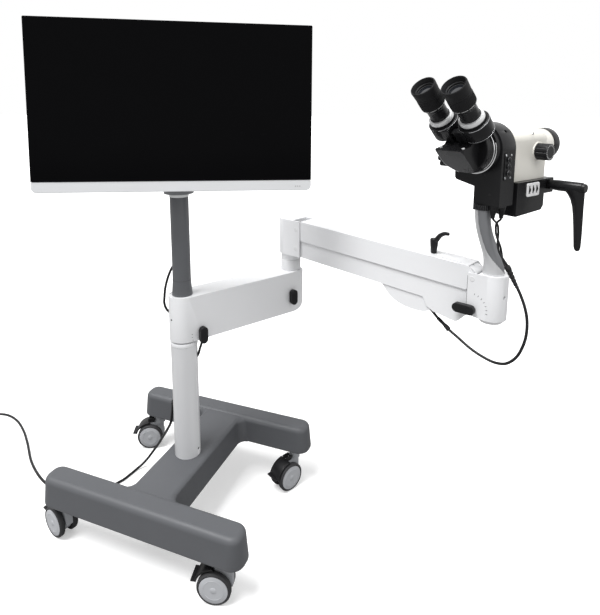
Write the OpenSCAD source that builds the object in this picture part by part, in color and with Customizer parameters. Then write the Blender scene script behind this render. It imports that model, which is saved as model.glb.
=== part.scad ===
// Colposcope on a wheeled foot: column, monitor, balanced arm and stereo head.
// Lengths are millimetres, the floor is at zero height, angles are degrees.

/* [Choice] */
// which node is built, or all of them

/* [Foot] */
// distance from the column axis to the near bar
foot_near = 185.5; // [120:0.5:260]
// distance from the column axis to the far bar
foot_far = 211.6; // [140:0.1:280]
// sideways distance of the bar middle from the column axis
foot_mid = 10; // [0:0.5:40]
// half length of each bar
foot_half = 268; // [200:1:340]
// half width of each bar at its foot
bar_half = 35; // [30:0.5:50]
// radius of the rounded bar ends seen from above
bar_end_r = 27; // [22:0.5:34]
// how far the sides lean inwards over their height
foot_lean = 6; // [2:0.5:10]
// radius of the rounded top edges
crest_r = 9; // [4:0.5:12]
// small step used at edges
foot_bevel = 2; // [1:0.5:4]
// height of the underside of the foot
foot_under = 107; // [95:0.5:120]
// height of the top of the bars
foot_top = 177; // [160:0.5:200]
// half width of the middle bridge
bridge_half = 62; // [45:0.5:90]
// radius of the inner corners of the H
bridge_fillet = 25; // [12:0.5:40]
// step of the bridge below the bars
bridge_drop = 3.5; // [1:0.5:6]
// thickness of the roof over the steel frame
foot_roof = 12; // [8:0.5:18]
// half width of the channel in the bars
channel_half = 22; // [17:0.5:26]
// half width of the channel in the bridge
channel_bridge = 46; // [35:0.5:52]
// wall left at the channel ends
channel_end = 20; // [16:0.5:40]
// depth of the steel frame tubes
frame_depth = 30; // [20:1:40]
// radius of the castor sockets
socket_r = 15.5; // [12:0.5:20]
// height of the lower end of the castor sockets
socket_low = 109; // [100:0.5:120]
// radius of the column socket
foot_socket_r = 42; // [36:0.5:45]

/* [Castors] */
// distance of the castors from the bar ends
castor_end = 44; // [36:1:60]
// inward step of the near castors from their bar
castor_near_in = 5.5; // [0:0.1:8]
// inward step of the far castors from their bar
castor_far_in = 5.6; // [0:0.1:8]
// radius of the wheels
wheel_r = 38; // [30:0.5:50]
// distance of the axle behind the swivel
trail = 30; // [20:0.5:40]
// half width over both wheels
wheel_out = 24; // [18:0.5:30]
// half distance between the wheels
wheel_in = 9; // [7:0.5:12]
// radius of the pale disc in each wheel
disc_r = 32; // [24:0.5:36]
// depth of the groove round the disc
disc_groove = 2; // [1:0.5:4]
// width of the groove round the disc
groove_width = 1.5; // [1:0.5:3]
// radius of the axle
axle_r = 4; // [3:0.25:6]
// running clearance of every pin
play = 0.05; // [0.02:0.01:0.1]
// half thickness of the castor body
body_half = 8; // [5:0.25:8.5]
// radius of the castor drum
drum_r = 29; // [20:0.5:32]
// radius of the castor neck
neck_r = 14.5; // [11:0.5:18]
// height of the underside of the castor neck
neck_low = 79; // [72:0.5:90]
// height of the top of the castor neck
neck_top = 105; // [92:0.5:106]
// radius of the castor stem
stem_r = 5.5; // [4:0.25:8]
// height of the top of the castor stem
stem_top = 150; // [130:1:160]
// radius of the ring between castor and foot
race_r = 11; // [9:0.5:14]
// gap between the castor race and the socket
race_gap = 0.4; // [0.2:0.1:1]
// inner radius of the brake hood about the axle
hood_in = 41; // [39:0.5:48]
// thickness of the brake hood
hood_wall = 4; // [2.5:0.5:6]
// half width of the brake hood
hood_half = 19; // [14:0.5:24]
// lower end of the brake hood about the axle
hood_low_deg = 14; // [0:1:40]
// upper end of the brake hood about the axle
hood_high_deg = 88; // [70:1:95]
// length of the tread of the brake pedal
tread = 12; // [6:0.5:20]
// distance of the pedal pin behind the swivel
pedal_x = 18; // [10:0.5:22]
// height of the pedal pin
pedal_z = 88; // [84:0.5:96]
// radius of the pedal hub
pedal_r = 4.25; // [3:0.25:8]
// radius of the pedal pin
pedal_pin_r = 2.5; // [1.5:0.25:3]
// half thickness of the pedal lug on the castor
lug_half = 5; // [3:0.25:6]

/* [Column] */
// radius of the white column
column_r = 32.5; // [26:0.5:40]
// wall of the white column
column_wall = 4; // [2:0.5:6]
// height of the lower end of the column
column_low = 119; // [112:0.5:130]
// height of the top of the column tube
column_top = 471; // [380:1:560]
// height of the collar on the column
collar_h = 10; // [6:0.5:16]
// how far the collar stands out from the tube
collar_out = 1; // [0.5:0.5:3]
// height of the dark groove under the arm
groove_h = 3.1; // [2:0.1:5]
// depth of the dark groove under the arm
groove_in = 4; // [2:0.5:6]
// depth of the plug inside the column
plug_depth = 90; // [60:1:120]
// floor of the plug inside the column
plug_floor = 8; // [5:0.5:12]
// radius of the steel spindle
spindle_r = 18; // [14:0.5:20]
// height of the top of the spindle
spindle_top = 700; // [640:1:760]
// radius of the screw hole at the foot of the column
foot_hole_r = 3.5; // [2:0.25:5]
// height of the screw hole at the foot of the column
foot_hole_z = 191; // [182:0.5:210]

/* [Pole] */
// radius of the grey pole
pole_r = 22; // [18.5:0.5:26]
// radius of the flared foot of the pole
sleeve_r = 25; // [22:0.5:30]
// height of the flared foot
sleeve_h = 37; // [25:0.5:60]
// height of the top of the pole
pole_top = 840; // [760:1:920]
// height of the pale collar on the pole
pole_collar_h = 8; // [4:0.5:14]
// radius of the pale collar on the pole
pole_collar_r = 23; // [19:0.5:28]
// radius of the cable hole in the pole
pole_hole_r = 4.5; // [3:0.25:6]
// height of the cable hole in the pole
pole_hole_z = 668; // [645:1:690]

/* [Monitor] */
// heading of the width of the monitor
monitor_heading = 30; // [-60:1:90]
// width of the monitor
monitor_w = 606; // [480:1:720]
// height of the glass
glass_h = 343; // [270:1:410]
// height of the pale chin under the glass
chin_h = 24; // [12:0.5:40]
// height of the middle of the glass
monitor_z = 1059.6; // [980:0.1:1200]
// distance of the glass in front of the pole axis
monitor_out = 70.5; // [60:0.5:100]
// sideways distance of the monitor from the pole axis
monitor_side = 2; // [0:0.5:30]
// backward lean of the monitor
monitor_lean = 2.5; // [0:0.1:10]
// sag of the monitor to its right
monitor_sag = 0.7; // [0:0.1:3]
// thickness of the glass
glass_t = 4; // [2:0.5:8]
// thickness of the shell behind the glass
shell_t = 13; // [8:0.5:24]
// radius of the lower corners of the chin
chin_r = 11; // [4:0.5:12]
// radius of the upper corners of the glass
glass_r = 3; // [1:0.5:8]
// width of the box behind the shell
pack_w = 330; // [200:1:420]
// height of the box behind the shell
pack_h = 200; // [120:1:260]
// thickness of the box behind the shell
pack_t = 13; // [6:0.5:24]
// rim of the shell inside the edge of the glass
shell_rim = 4; // [1:0.5:12]
// side of the square mounting plate
plate_side = 116; // [90:1:130]
// thickness of the mounting plate
plate_t = 4; // [2:0.5:6]
// distance of the tilt axis in front of the pole axis
tilt_out = 17; // [12:0.5:24]
// height of the tilt axis
tilt_z = 1040; // [980:1:1100]
// radius of the tilt knuckles
knuckle_r = 11; // [8:0.5:14]
// half width of the middle tilt knuckle
knuckle_half = 20; // [12:0.5:30]
// width of each outer tilt knuckle
knuckle_side = 10; // [6:0.5:16]
// radius of the tilt pin
tilt_pin_r = 4; // [3:0.25:6]
// radius of the dark plate on the pole
swivel_plate_r = 35; // [26:0.5:44]
// thickness of the dark plate on the pole
swivel_plate_t = 9; // [5:0.5:14]
// half width of the upright behind the monitor
upright_half = 24; // [14:0.5:34]
// half thickness of the upright behind the monitor
upright_t = 6; // [4:0.5:9]
// distance of the upright behind the pole axis
upright_back = 4; // [0:0.5:10]
// height of the upright above the tilt axis
upright_rise = 6; // [2:0.5:12]
// radius of the swivel spigot of the monitor
spigot_r = 11; // [8:0.5:15]
// depth of the swivel spigot of the monitor
spigot_depth = 60; // [30:1:90]

/* [Extension arm] */
// heading of the extension arm
extension_heading = 59.15; // [-60:0.05:120]
// distance from the column axis to the elbow axis
extension_reach = 334.3; // [260:0.1:420]
// half width of the extension arm
extension_half = 34; // [31:0.5:42]
// what the arm stands out beyond the elbow axis
extension_over = 28; // [24:0.5:40]
// radius of the far corners seen from above
extension_corner = 20; // [8:0.5:30]
// radius of the low far corner seen from the side
extension_chin = 25; // [8:0.5:40]
// height of the underside of the extension arm
extension_low = 484.5; // [400:0.5:560]
// height of the top of the extension arm
extension_top = 598; // [520:0.5:640]
// distance of the first knob from the column axis
knob_a_x = 31.8; // [20:0.2:60]
// height of the first knob
knob_a_z = 498.8; // [490:0.2:580]
// distance of the second knob from the column axis
knob_b_x = 311; // [220:0.5:330]
// height of the second knob
knob_b_z = 530.5; // [510:0.5:570]
// length of the arm knobs
knob_l = 42; // [30:0.5:60]
// width of the arm knobs
knob_w = 20; // [14:0.5:26]
// height of the arm knobs over the arm
knob_h = 15; // [8:0.5:24]
// radius of the knob stems
knob_stem_r = 4; // [2.5:0.25:5]
// depth of the knob stems in the extension arm
knob_stem_l = 12; // [6:0.5:14]
// gap under each knob
knob_gap = 0.4; // [0.2:0.1:1]
// step of the narrower knob foot
knob_step = 2; // [1:0.5:4]
// height of the narrower knob foot
knob_foot = 3; // [1:0.5:6]
// radius of the set screw hole in the hub
hub_hole_r = 2.6; // [1.5:0.1:4]
// height of the set screw hole in the hub
hub_hole_z = 547; // [500:1:590]

/* [Elbow] */
// heading of the balanced arm
arm_heading = -20.32; // [-120:0.05:60]
// radius of the round elbow foot
elbow_foot_r = 27.5; // [22:0.5:31]
// height of the fixed elbow foot
elbow_foot_h = 30; // [20:0.5:45]
// gap above the elbow foot
elbow_gap = 0.4; // [0.2:0.1:1]
// height of the turning neck of the elbow
elbow_neck_h = 18; // [10:0.5:30]
// radius of the turning neck of the elbow
elbow_neck_r = 26.5; // [22:0.5:30]
// radius of the elbow pin
elbow_pin_r = 12; // [8:0.5:15]
// depth of the elbow pin in the extension arm
elbow_pin_low = 60; // [40:1:100]
// height of the elbow pin over its foot
elbow_pin_up = 95; // [70:1:110]
// radius of the round back of the elbow block
elbow_round_r = 31; // [27:0.5:36]
// half width of the fork cheeks
cheek_out = 31; // [27:0.5:36]
// thickness of the fork cheeks
cheek_t = 3.5; // [2:0.5:6]
// distance of the link pins from the elbow axis
link_start = 44; // [38:0.5:60]
// depth of the fork behind the link pins
fork_back = 13; // [12:0.5:18]
// how far the elbow cheeks reach past the link pins
cheek_past = 13.5; // [9:0.5:20]
// height of the elbow block
elbow_block_h = 99; // [80:1:120]

/* [Balanced arm] */
// length of both links between their pins
link_l = 491; // [380:1:600]
// downward slope of the links in the shown pose
arm_slope = 2.9; // [0:0.1:20]
// distance between the upper and the lower pins
pin_gap = 53; // [44:0.5:64]
// height of the upper link over its pins
upper_rise = 24; // [18:0.5:30]
// depth of the upper link under its pins
upper_drop = 28.5; // [16:0.5:32]
// depth of the lower link under its pins
lower_drop = 22; // [16:0.5:28]
// height of the lower link over its pins
lower_rise = 34; // [28:0.5:36]
// wall of both links
link_wall = 3; // [2:0.25:4]
// side gap between the nested links
link_gap = 0.3; // [0.2:0.1:0.6]
// radius of the rounded link ends
link_end_r = 11.2; // [9:0.1:12]
// distance at which the links reach full height
link_full = 13; // [11:0.5:30]
// radius of the link pins
pin_r = 5; // [3.5:0.25:7]
// start of the rear cover from the hub pins
cover_a_back = 220; // [200:1:260]
// length of the rear cover
cover_a_l = 126; // [90:1:150]
// depth of the rear cover
cover_a_h = 37; // [20:0.5:50]
// half width of the rear cover
cover_a_half = 20.5; // [12:0.5:23]
// length of the front cover
cover_b_l = 92; // [70:1:110]
// depth of the front cover at its rear
cover_b_h = 27; // [10:0.5:40]
// depth of the front cover at its front
cover_b_front = 33; // [10:0.5:45]
// start of the front cover from the hub pins
cover_b_back = 113; // [100:1:150]
// distance of the small lever from the hub pins
lever_back = 105; // [70:1:180]
// radius of the small lever hub at its foot
lever_r = 6.5; // [5:0.25:9]
// radius of the small lever hub at its head
lever_head_r = 9; // [6:0.25:12]
// height of the small lever hub
lever_hub_h = 33; // [22:0.5:45]
// gap under the small lever
lever_gap = 0.4; // [0.2:0.1:1]
// reach of the small lever
lever_reach = 43; // [30:0.5:60]
// height gained by the small lever
lever_rise = 20; // [10:0.5:30]
// radius of the small lever tip
lever_tip_r = 4; // [3:0.25:6]
// radius of the small lever screw
lever_screw_r = 3; // [2:0.25:4]
// radius of the gas spring tube
gas_r = 9.5; // [7:0.25:10]
// radius of the gas spring rod
gas_rod_r = 4; // [2.5:0.25:6]
// start of the gas spring from the elbow pins
gas_start = 62; // [60:1:100]
// length of the gas spring tube
gas_tube_l = 210; // [150:1:260]
// end of the gas spring rod from the hub pins
gas_back = 89; // [70:1:110]
// height of the gas spring over the lower pins
gas_z = 10; // [4:0.5:14]

/* [End hub] */
// distance from the front link pins to the hub axis
hub_reach = 32; // [28:0.5:44]
// radius of the round front of the hub
hub_r = 31; // [27:0.5:36]
// height of the hub over the upper pins
hub_rise = 12; // [9:0.5:24]
// depth of the hub under the upper pins
hub_drop = 93; // [80:0.5:110]
// how far the hub cheeks reach past the link pins
hub_cheek = 9.5; // [8:0.5:20]
// depth of the fork in front of the link pins
hub_fork = 12; // [11.8:0.1:16]
// depth of the low rounding of the hub
hub_round = 9; // [3:0.5:14]
// depth of the tension knob under the upper pins
knob_c_drop = 65; // [60:0.5:75]
// length of the tension knob
knob_c_l = 48; // [36:0.5:60]
// distance from the knob axis to its rounded front end
knob_c_front = 13; // [10:0.5:20]
// depth of the tension knob stem
knob_c_stem = 3.2; // [2:0.1:3.4]
// radius of the hub screw
hub_screw_r = 3.6; // [2:0.1:5]
// depth of the hub screw under the upper pins
hub_screw_drop = 32; // [20:0.5:60]

/* [Swivel post] */
// radius of the foot of the post
post_r = 21.5; // [16:0.5:26]
// height of the post
post_h = 134.6; // [90:0.2:190]
// sideways offset of the top of the post
post_shift = 30; // [10:0.5:60]
// heading of that offset
post_heading = 200; // [120:1:300]
// half width of the top of the post
post_top_r = 15.5; // [12:0.5:20]
// gap under the post
post_gap = 0.4; // [0.2:0.1:1]
// radius of the spigot of the post
post_spigot_r = 11; // [8:0.5:14]
// depth of the spigot of the post
post_spigot_l = 60; // [40:1:80]
// radius of the head pivot
head_pin_r = 8; // [5:0.25:10]
// height of the head pivot over the post
head_pin_l = 34; // [20:0.5:45]
// radius of the ribbed collar under the head
ribbed_r = 16.5; // [13:0.5:20]
// height of the ribbed collar under the head
ribbed_h = 11; // [8:0.5:18]

/* [Head] */
// heading of the button side of the head
head_heading = -32; // [-120:1:60]
// sideways distance from the head pivot to the optical axis
axis_side = 12; // [6:0.5:30]
// height of the optical axis over the neck
axis_rise = 112; // [90:0.5:130]
// radius of the round housing
house_r = 53.5; // [46:0.5:60]
// distance of the housing front from the head pivot
house_front = 10; // [9:0.5:16]
// distance of the housing back from the head pivot
house_back = 37; // [28:0.5:50]
// distance of the narrow neck side from the head pivot
neck_side = 13; // [10:0.5:18]
// height of the neck under the chin
neck_rise = 35; // [20:0.5:50]
// height of the chin at its outer end
chin_rise = 45; // [36:0.5:60]
// how far the chin reaches from the optical axis
chin_reach = 52; // [40:0.5:53]
// radius of the front boss
boss_r = 50; // [42:0.5:53]
// depth of the front boss
boss_t = 12; // [6:0.5:18]
// radius of the chrome ring
chrome_r = 46; // [38:0.5:50]
// depth of the chrome ring
chrome_t = 4; // [2:0.5:8]
// width of the button panel
panel_w = 24; // [16:0.5:26]
// height of the button panel
panel_h = 54; // [40:0.5:70]
// thickness of the button panel
panel_t = 1.5; // [0.5:0.25:3]
// distance of the button panel from the head pivot
panel_y = 11; // [4:0.5:18]
// height of the button panel over the neck
panel_z = 80; // [60:0.5:95]
// radius of the push buttons
button_r = 4.2; // [3:0.1:5.5]
// distance between the push buttons
button_step = 13.2; // [11:0.1:15]
// height of the push buttons over the panel
button_out = 4; // [2:0.25:6]
// depth of the push button stems
button_in = 8; // [5:0.5:12]
// travel of the buttons
button_travel = 1.5; // [1:0.1:2.5]
// height of the side hole over the neck
side_hole_z = 143; // [120:0.5:150]

/* [Eyepieces] */
// half distance between the eyepiece axes
eye_half = 35; // [29:0.5:38]
// slope of the eyepieces
eye_slope = 45; // [30:1:60]
// distance of the slope point in front of the head pivot
eye_front = 30; // [26:0.5:40]
// offset of the eyepiece axes over the slope point
eye_lift = 13.4; // [8:0.2:20]
// sideways shift of the eyepieces
eye_shift = 10; // [0:0.5:12]
// start of the prism housings along the slope
prism_low = 36; // [30:0.5:48]
// end of the prism housings along the slope
prism_high = 72; // [66:0.5:90]
// radius of the prism housings
prism_r = 30; // [24:0.5:32]
// length of the silver collars
silver_l = 9; // [5:0.5:14]
// radius of the silver collars
silver_r = 28.5; // [24:0.5:29.5]
// radius of the eyepiece tubes
tube_r = 22; // [18:0.5:24]
// radius of the focus rings
focus_r = 27.5; // [24:0.5:30]
// start of the focus rings along the slope
focus_low = 111; // [100:0.5:120]
// end of the focus rings along the slope
focus_high = 136; // [124:0.5:146]
// radius of the eyecups
cup_r = 27; // [22:0.5:30]
// end of the eyecups along the slope
cup_high = 160.5; // [150:0.5:175]
// wall of the eyecups
cup_wall = 4; // [2:0.25:6]
// radius of the eye lenses
lens_r = 15; // [9:0.25:17]
// thickness of the eye lenses
lens_t = 3; // [2:0.25:5]
// radius of the fold pin
fold_r = 6; // [4:0.25:8]
// half width of the wedge body
wedge_half = 29; // [24:0.5:34]
// how far the wedge reaches in front of the head pivot
wedge_reach = 100; // [80:0.5:110]
// height of the wedge tip over the neck
wedge_tip = 119; // [105:0.5:125]
// height of the wedge bottom over the neck
wedge_low = 67; // [62:0.5:85]
// radius of the wedge screws
wedge_screw_r = 3; // [2:0.1:4]

/* [Zoom pod] */
// half width of the white pod
pod_half = 42; // [36:0.5:50]
// length of the white pod
pod_l = 138; // [100:1:170]
// height of the pod underside over the neck
pod_low = 43; // [36:0.5:60]
// height of the pod top over the neck
pod_high = 148; // [130:0.5:160]
// radius of the upper pod edges
pod_edge = 22; // [8:0.5:36]
// radius of the pale snout
snout_r = 35; // [30:0.5:40]
// length of the pale snout
snout_l = 46; // [20:0.5:60]
// radius of the black objective ring
ring_r = 36; // [31:0.5:42]
// length of the black objective ring
ring_l = 24; // [14:0.5:36]
// radius of the objective bore
objective_r = 28; // [22:0.5:30]
// depth of the objective lens in its ring
objective_in = 6; // [3:0.5:10]
// thickness of the objective lens
objective_t = 6; // [4:0.5:10]
// distance of the zoom knob behind the head pivot
zoom_y = 140; // [100:1:155]
// height of the zoom knob over the neck
zoom_z = 102; // [85:0.5:125]
// radius of the zoom knob
zoom_r = 17.5; // [12:0.5:24]
// length of the zoom knob
zoom_l = 26; // [16:0.5:34]
// radius of the pale boss under the zoom knob
zoom_boss_r = 20; // [14:0.5:26]
// height of the pale boss under the zoom knob
zoom_boss_h = 2; // [1:0.25:4]
// radius of the zoom shaft
zoom_shaft_r = 5; // [3:0.25:7]
// depth of the zoom shaft
zoom_shaft_l = 16; // [8:0.5:24]

/* [Lamp box] */
// distance of the lamp box front from the head pivot
lamp_front = 52; // [44:0.5:70]
// length of the lamp box
lamp_l = 106; // [80:1:130]
// distance of the lamp box side from the head pivot
lamp_side = 41.5; // [34:0.5:50]
// width of the lamp box
lamp_w = 100; // [80:1:120]
// depth of the lamp box under the pod
lamp_h = 70; // [50:0.5:90]
// how far the far end of the underside rises
lamp_rise = 4; // [0:0.5:20]
// width of the white dial plate
dial_w = 48; // [36:0.5:60]
// height of the white dial plate
dial_h = 28; // [20:0.5:36]
// thickness of the white dial plate
dial_t = 2; // [1:0.25:4]
// distance of the dial plate behind the head pivot
dial_y = 110; // [90:1:120]
// depth of the dial plate under the pod
dial_drop = 18; // [15:0.5:24]
// distance between the thumb wheels
wheel_step = 14; // [11:0.25:16]
// radius of the thumb wheels
thumb_r = 8; // [6:0.25:10]
// thickness of the thumb wheels
thumb_t = 5; // [3:0.25:7]
// height of the thumb wheels over the plate
thumb_out = 1.5; // [0.5:0.25:3]
// length of the clamp block behind the lamp box
clamp_l = 40; // [28:0.5:52]
// depth of the clamp block
clamp_h = 32; // [26:0.5:44]

/* [Clamp handle] */
// distance of the handle axis behind the head pivot
handle_y = 178; // [168:0.5:190]
// height of the handle axis over the neck
handle_z = 29.5; // [24:0.5:34]
// radius of the handle shaft
handle_shaft_r = 6; // [4:0.25:8]
// radius of the handle hub
handle_r = 11.5; // [9:0.25:14]
// length of the handle hub
handle_l = 72; // [50:0.5:90]
// length of the handle lever
handle_drop = 134; // [90:1:160]
// how far the lever leans outwards
handle_lean = 5; // [0:0.5:20]
// half thickness of the lever at its end
handle_tip = 5.5; // [4:0.25:8]
// radius of the button on the handle
handle_button_r = 9.5; // [6:0.25:11]
// height of the button on the handle
handle_button_h = 6; // [3:0.5:9]
// gap behind the handle hub
handle_gap = 0.4; // [0.2:0.1:1]

/* [Lobed knob] */
// height of the lobed knob over the neck
lobed_z = 86; // [70:0.5:100]
// distance of the lobed knob behind the head pivot
lobed_y = 10; // [0:0.5:30]
// length of the lobed knob
lobed_l = 26; // [12:0.5:30]
// radius of the lobed knob body
lobed_r = 14; // [8:0.5:16]
// radius of each lobe
lobe_r = 6; // [4:0.25:8]
// distance of the knob from the housing
lobed_out = 19; // [4:0.5:26]
// radius of the lobed knob shaft
lobed_shaft_r = 4; // [2.5:0.25:6]
// depth of the lobed knob shaft
lobed_shaft_l = 14; // [8:0.5:24]

/* [Cords] */
// radius of the head cable
cable_r = 3; // [2:0.25:5]
// radius of the thin leads
lead_r = 1.6; // [1.2:0.1:3]
// radius of the cord round the pole
pole_cord_r = 3; // [2:0.25:4]
// radius of the mains lead
mains_r = 3.5; // [2.5:0.25:5]
// radius of the cable boots
boot_r = 6.5; // [5:0.25:9]
// length of the connectors under the head
connector_l = 26; // [16:0.5:36]
// radius of the connectors under the head
connector_r = 5.8; // [4:0.1:7]
// radius of the mains coil on the floor
coil_r = 78; // [60:1:110]
// length of the mains plug body
plug_l = 38; // [28:0.5:50]
// radius of the mains plug body
plug_r = 14; // [10:0.5:18]

/* [Hidden] */
mm = foot_top / 177;
plan_x = 277.977 * mm;
plan_y = 50.273 * mm;
fine = 96;
$fn = fine;
mid = 48;
low = 24;
s_half = 0.5;
cavity_top = foot_top - foot_roof;
upper_pin_z = extension_top + elbow_foot_h + elbow_gap + elbow_neck_h + elbow_block_h - upper_rise;
hub_pin_x = link_start + link_l * cos(arm_slope);
hub_pin_z = upper_pin_z - link_l * sin(arm_slope);
hub_axis = hub_pin_x + hub_reach;
post_low = hub_pin_z + hub_rise + post_gap;
post_top = post_low + post_h;
neck_z = post_top + post_gap + ribbed_h;
link_half = cheek_out - cheek_t - link_gap;
lower_half = link_half - link_wall - link_gap;
castor_x = [for (k = [1, 1, -1, -1]) k * (foot_half - castor_end) - foot_mid];
castor_y = [for (k = [-1, 1, -1, 1]) k < 0 ? castor_near_in - foot_near : foot_far - castor_far_in];
cover_a_x = link_l - cover_a_back;
cover_b_x = link_l - cover_b_back;
lever_x = link_l - lever_back;
gas_rod_l = link_l - gas_back - gas_start - gas_tube_l;
castor_turn = [193, 242.4, 164.2, 205];

// points of an arc round a middle
function arc(mx, my, r, a, b, n) =
  [for (i = [0 : n]) [mx + r * cos(a + (b - a) * i / n), my + r * sin(a + (b - a) * i / n)]];

// solid through a row of rings with equal point counts
module loft(rings) {
  n = len(rings[0]);
  m = len(rings);
  polyhedron(
    points = [for (r = rings) for (p = r) p],
    faces = concat(
      [[for (i = [0 : n - 1]) i]],
      [[for (i = [n - 1 : -1 : 0]) (m - 1) * n + i]],
      [for (k = [0 : m - 2]) for (i = [0 : n - 1]) [k * n + i, (k + 1) * n + i, (k + 1) * n + (i + 1) % n]],
      [for (k = [0 : m - 2]) for (i = [0 : n - 1]) [k * n + i, (k + 1) * n + (i + 1) % n, k * n + (i + 1) % n]]),
    convexity = 8);
}

// smooth curve through the chosen points, n steps between each two
function spline(p, n) = let (k = len(p)) concat(
  [for (i = [0 : k - 2]) for (j = [0 : n - 1]) let (
    a = p[max(i - 1, 0)], b = p[i], c = p[i + 1], d = p[min(i + 2, k - 1)], t = j / n)
    b + (c - a) * (t / 2) + (a * 2 - b * 5 + c * 4 - d) * (t * t / 2) + (b * 3 - a - c * 3 + d) * (t * t * t / 2)],
  [p[k - 1]]);
function unit(v) = v / norm(v);
function along(p, i) = unit(p[min(i + 1, len(p) - 1)] - p[max(i - 1, 0)]);
// side direction carried on from ring to ring
function carry(p, i, s) = let (t = along(p, i)) unit(s - t * (s * t));
function sides(p, i, s) = i >= len(p) ? [] : let (q = carry(p, i, s)) concat([q], sides(p, i + 1, q));
module tube(p, r, n = 8) {
  s = sides(p, 0, abs(along(p, 0)[2]) > 0.8 ? [1, 0, 0] : [0, 0, 1]);
  loft([for (i = [0 : len(p) - 1]) let (t = along(p, i), u = s[i], v = cross(t, u), w = is_list(r) ? r[i] : r)
    [for (k = [0 : n - 1]) p[i] + u * (w * cos(360 * k / n)) + v * (w * sin(360 * k / n))]]);
}

// box between two corners
module box(a, b) {
  translate(a) cube(b - a);
}
// round bar along x, y or z between two ends
module bar_x(a, b, r, n = mid) {
  translate([a, 0, 0]) rotate([0, 90, 0]) cylinder(h = b - a, r = r, $fn = n);
}
module bar_y(a, b, r, n = mid) {
  translate([0, b, 0]) rotate([90, 0, 0]) cylinder(h = b - a, r = r, $fn = n);
}
// flat shape in the x and z plane drawn out along y from a to b
module side_cut(a, b) {
  translate([0, b, 0]) rotate([90, 0, 0]) linear_extrude(height = b - a) children();
}
// rectangle with round corners, middle at the origin
module round_rect(w, h, r) {
  union() {
    square([w - r * 2, h], center = true);
    square([w, h - r * 2], center = true);
    for (i = [-1, 1]) for (j = [-1, 1]) translate([i * (w / 2 - r), j * (h / 2 - r)]) circle(r = r, $fn = mid);
  }
}

module put() {
  translate([-plan_x, -plan_y, 0]) children();
}
module on_castor(i) {
  translate([castor_x[i - 1], castor_y[i - 1], 0]) rotate([0, 0, castor_turn[i - 1]]) children();
}
module on_monitor() {
  rotate([0, 0, monitor_heading]) children();
}
module on_panel() {
  on_monitor() translate([monitor_side, -monitor_out, monitor_z])
    rotate([-monitor_lean, 0, 0]) rotate([0, monitor_sag, 0]) children();
}
module on_extension() {
  rotate([0, 0, extension_heading]) children();
}
module on_arm() {
  rotate([0, 0, extension_heading]) translate([extension_reach, 0, 0])
    rotate([0, 0, arm_heading - extension_heading]) children();
}
module on_upper() {
  on_arm() translate([link_start, 0, upper_pin_z]) rotate([0, arm_slope, 0]) children();
}
module on_lower() {
  on_arm() translate([link_start, 0, upper_pin_z - pin_gap]) rotate([0, arm_slope, 0]) children();
}
module on_hub() {
  on_arm() translate([hub_pin_x, 0, hub_pin_z]) children();
}
module on_post() {
  on_arm() translate([hub_axis, 0, post_low]) rotate([0, 0, -arm_heading]) children();
}
module on_head() {
  on_post() translate([post_shift * cos(post_heading), post_shift * sin(post_heading), neck_z - post_low])
    rotate([0, 0, head_heading]) children();
}
module on_eyes() {
  on_head() translate([-axis_side - eye_shift, -eye_front, axis_rise]) rotate([eye_slope, 0, 0]) children();
}

// foot
module channel(h0, h1) {
  e = foot_half - channel_end;
  union() {
    box([-foot_mid - e, -foot_near - channel_half, h0], [-foot_mid + e, -foot_near + channel_half, h1]);
    box([-foot_mid - e, foot_far - channel_half, h0], [-foot_mid + e, foot_far + channel_half, h1]);
    box([-channel_bridge, -foot_near, h0], [channel_bridge, foot_far, h1]);
  }
}
// section with leaning sides and round top edges
module ridge(half, top) {
  w = half - foot_lean - crest_r;
  union() {
    polygon([[-half, foot_under], [half, foot_under], [half - foot_lean, top - crest_r], [w, top],
      [-w, top], [-half + foot_lean, top - crest_r]]);
    for (k = [-1, 1]) translate([k * w, top - crest_r]) circle(r = crest_r, $fn = mid);
  }
}
module bar(y0) {
  intersection() {
    translate([-foot_mid - foot_half, y0, 0]) rotate([90, 0, 90]) linear_extrude(height = foot_half * 2) ridge(bar_half, foot_top);
    side_cut(y0 - bar_half - foot_bevel, y0 + bar_half + foot_bevel) translate([-foot_mid, 0]) ridge(foot_half, foot_top);
    translate([-foot_mid, y0, foot_under - foot_bevel]) linear_extrude(height = foot_top)
      round_rect((foot_half + foot_bevel) * 2, (bar_half + foot_bevel) * 2, bar_end_r);
  }
}
module foot_shell() {
  f = bridge_fillet;
  color([0.3, 0.31, 0.33]) difference() {
    union() {
      bar(-foot_near);
      bar(foot_far);
      side_cut(-foot_near, foot_far) ridge(bridge_half, foot_top - bridge_drop);
      for (k = [-1, 1]) for (y = [-foot_near + bar_half, foot_far - bar_half]) let (t = y < 0 ? 1 : -1)
        translate([k * (bridge_half + f - foot_bevel * s_half), y + t * (f - foot_bevel * s_half), foot_under])
          linear_extrude(height = foot_top - bridge_drop - crest_r - foot_under) difference() {
            translate([k > 0 ? -f * 1.3 : 0, t > 0 ? -f * 1.3 : 0]) square(f * 1.3);
            circle(r = f);
          }
    }
    channel(foot_under - foot_bevel, cavity_top);
    cylinder(h = foot_top + foot_bevel, r = column_r + play);
  }
}
module foot_frame() {
  color([0.55, 0.56, 0.58]) difference() {
    union() {
      channel(cavity_top - frame_depth, cavity_top);
      for (i = [0 : 3]) translate([castor_x[i], castor_y[i], socket_low])
        cylinder(h = cavity_top - frame_depth - socket_low + play, r = socket_r, $fn = mid);
      translate([0, 0, column_low - foot_bevel * 2])
        cylinder(h = cavity_top - frame_depth - column_low + foot_bevel * 2 + play, r = foot_socket_r, $fn = mid);
    }
    for (i = [0 : 3]) translate([castor_x[i], castor_y[i], 0])
      cylinder(h = stem_top + race_gap, r = stem_r + play, $fn = mid);
    translate([0, 0, column_low]) cylinder(h = foot_top, r = column_r + play);
  }
}

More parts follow.
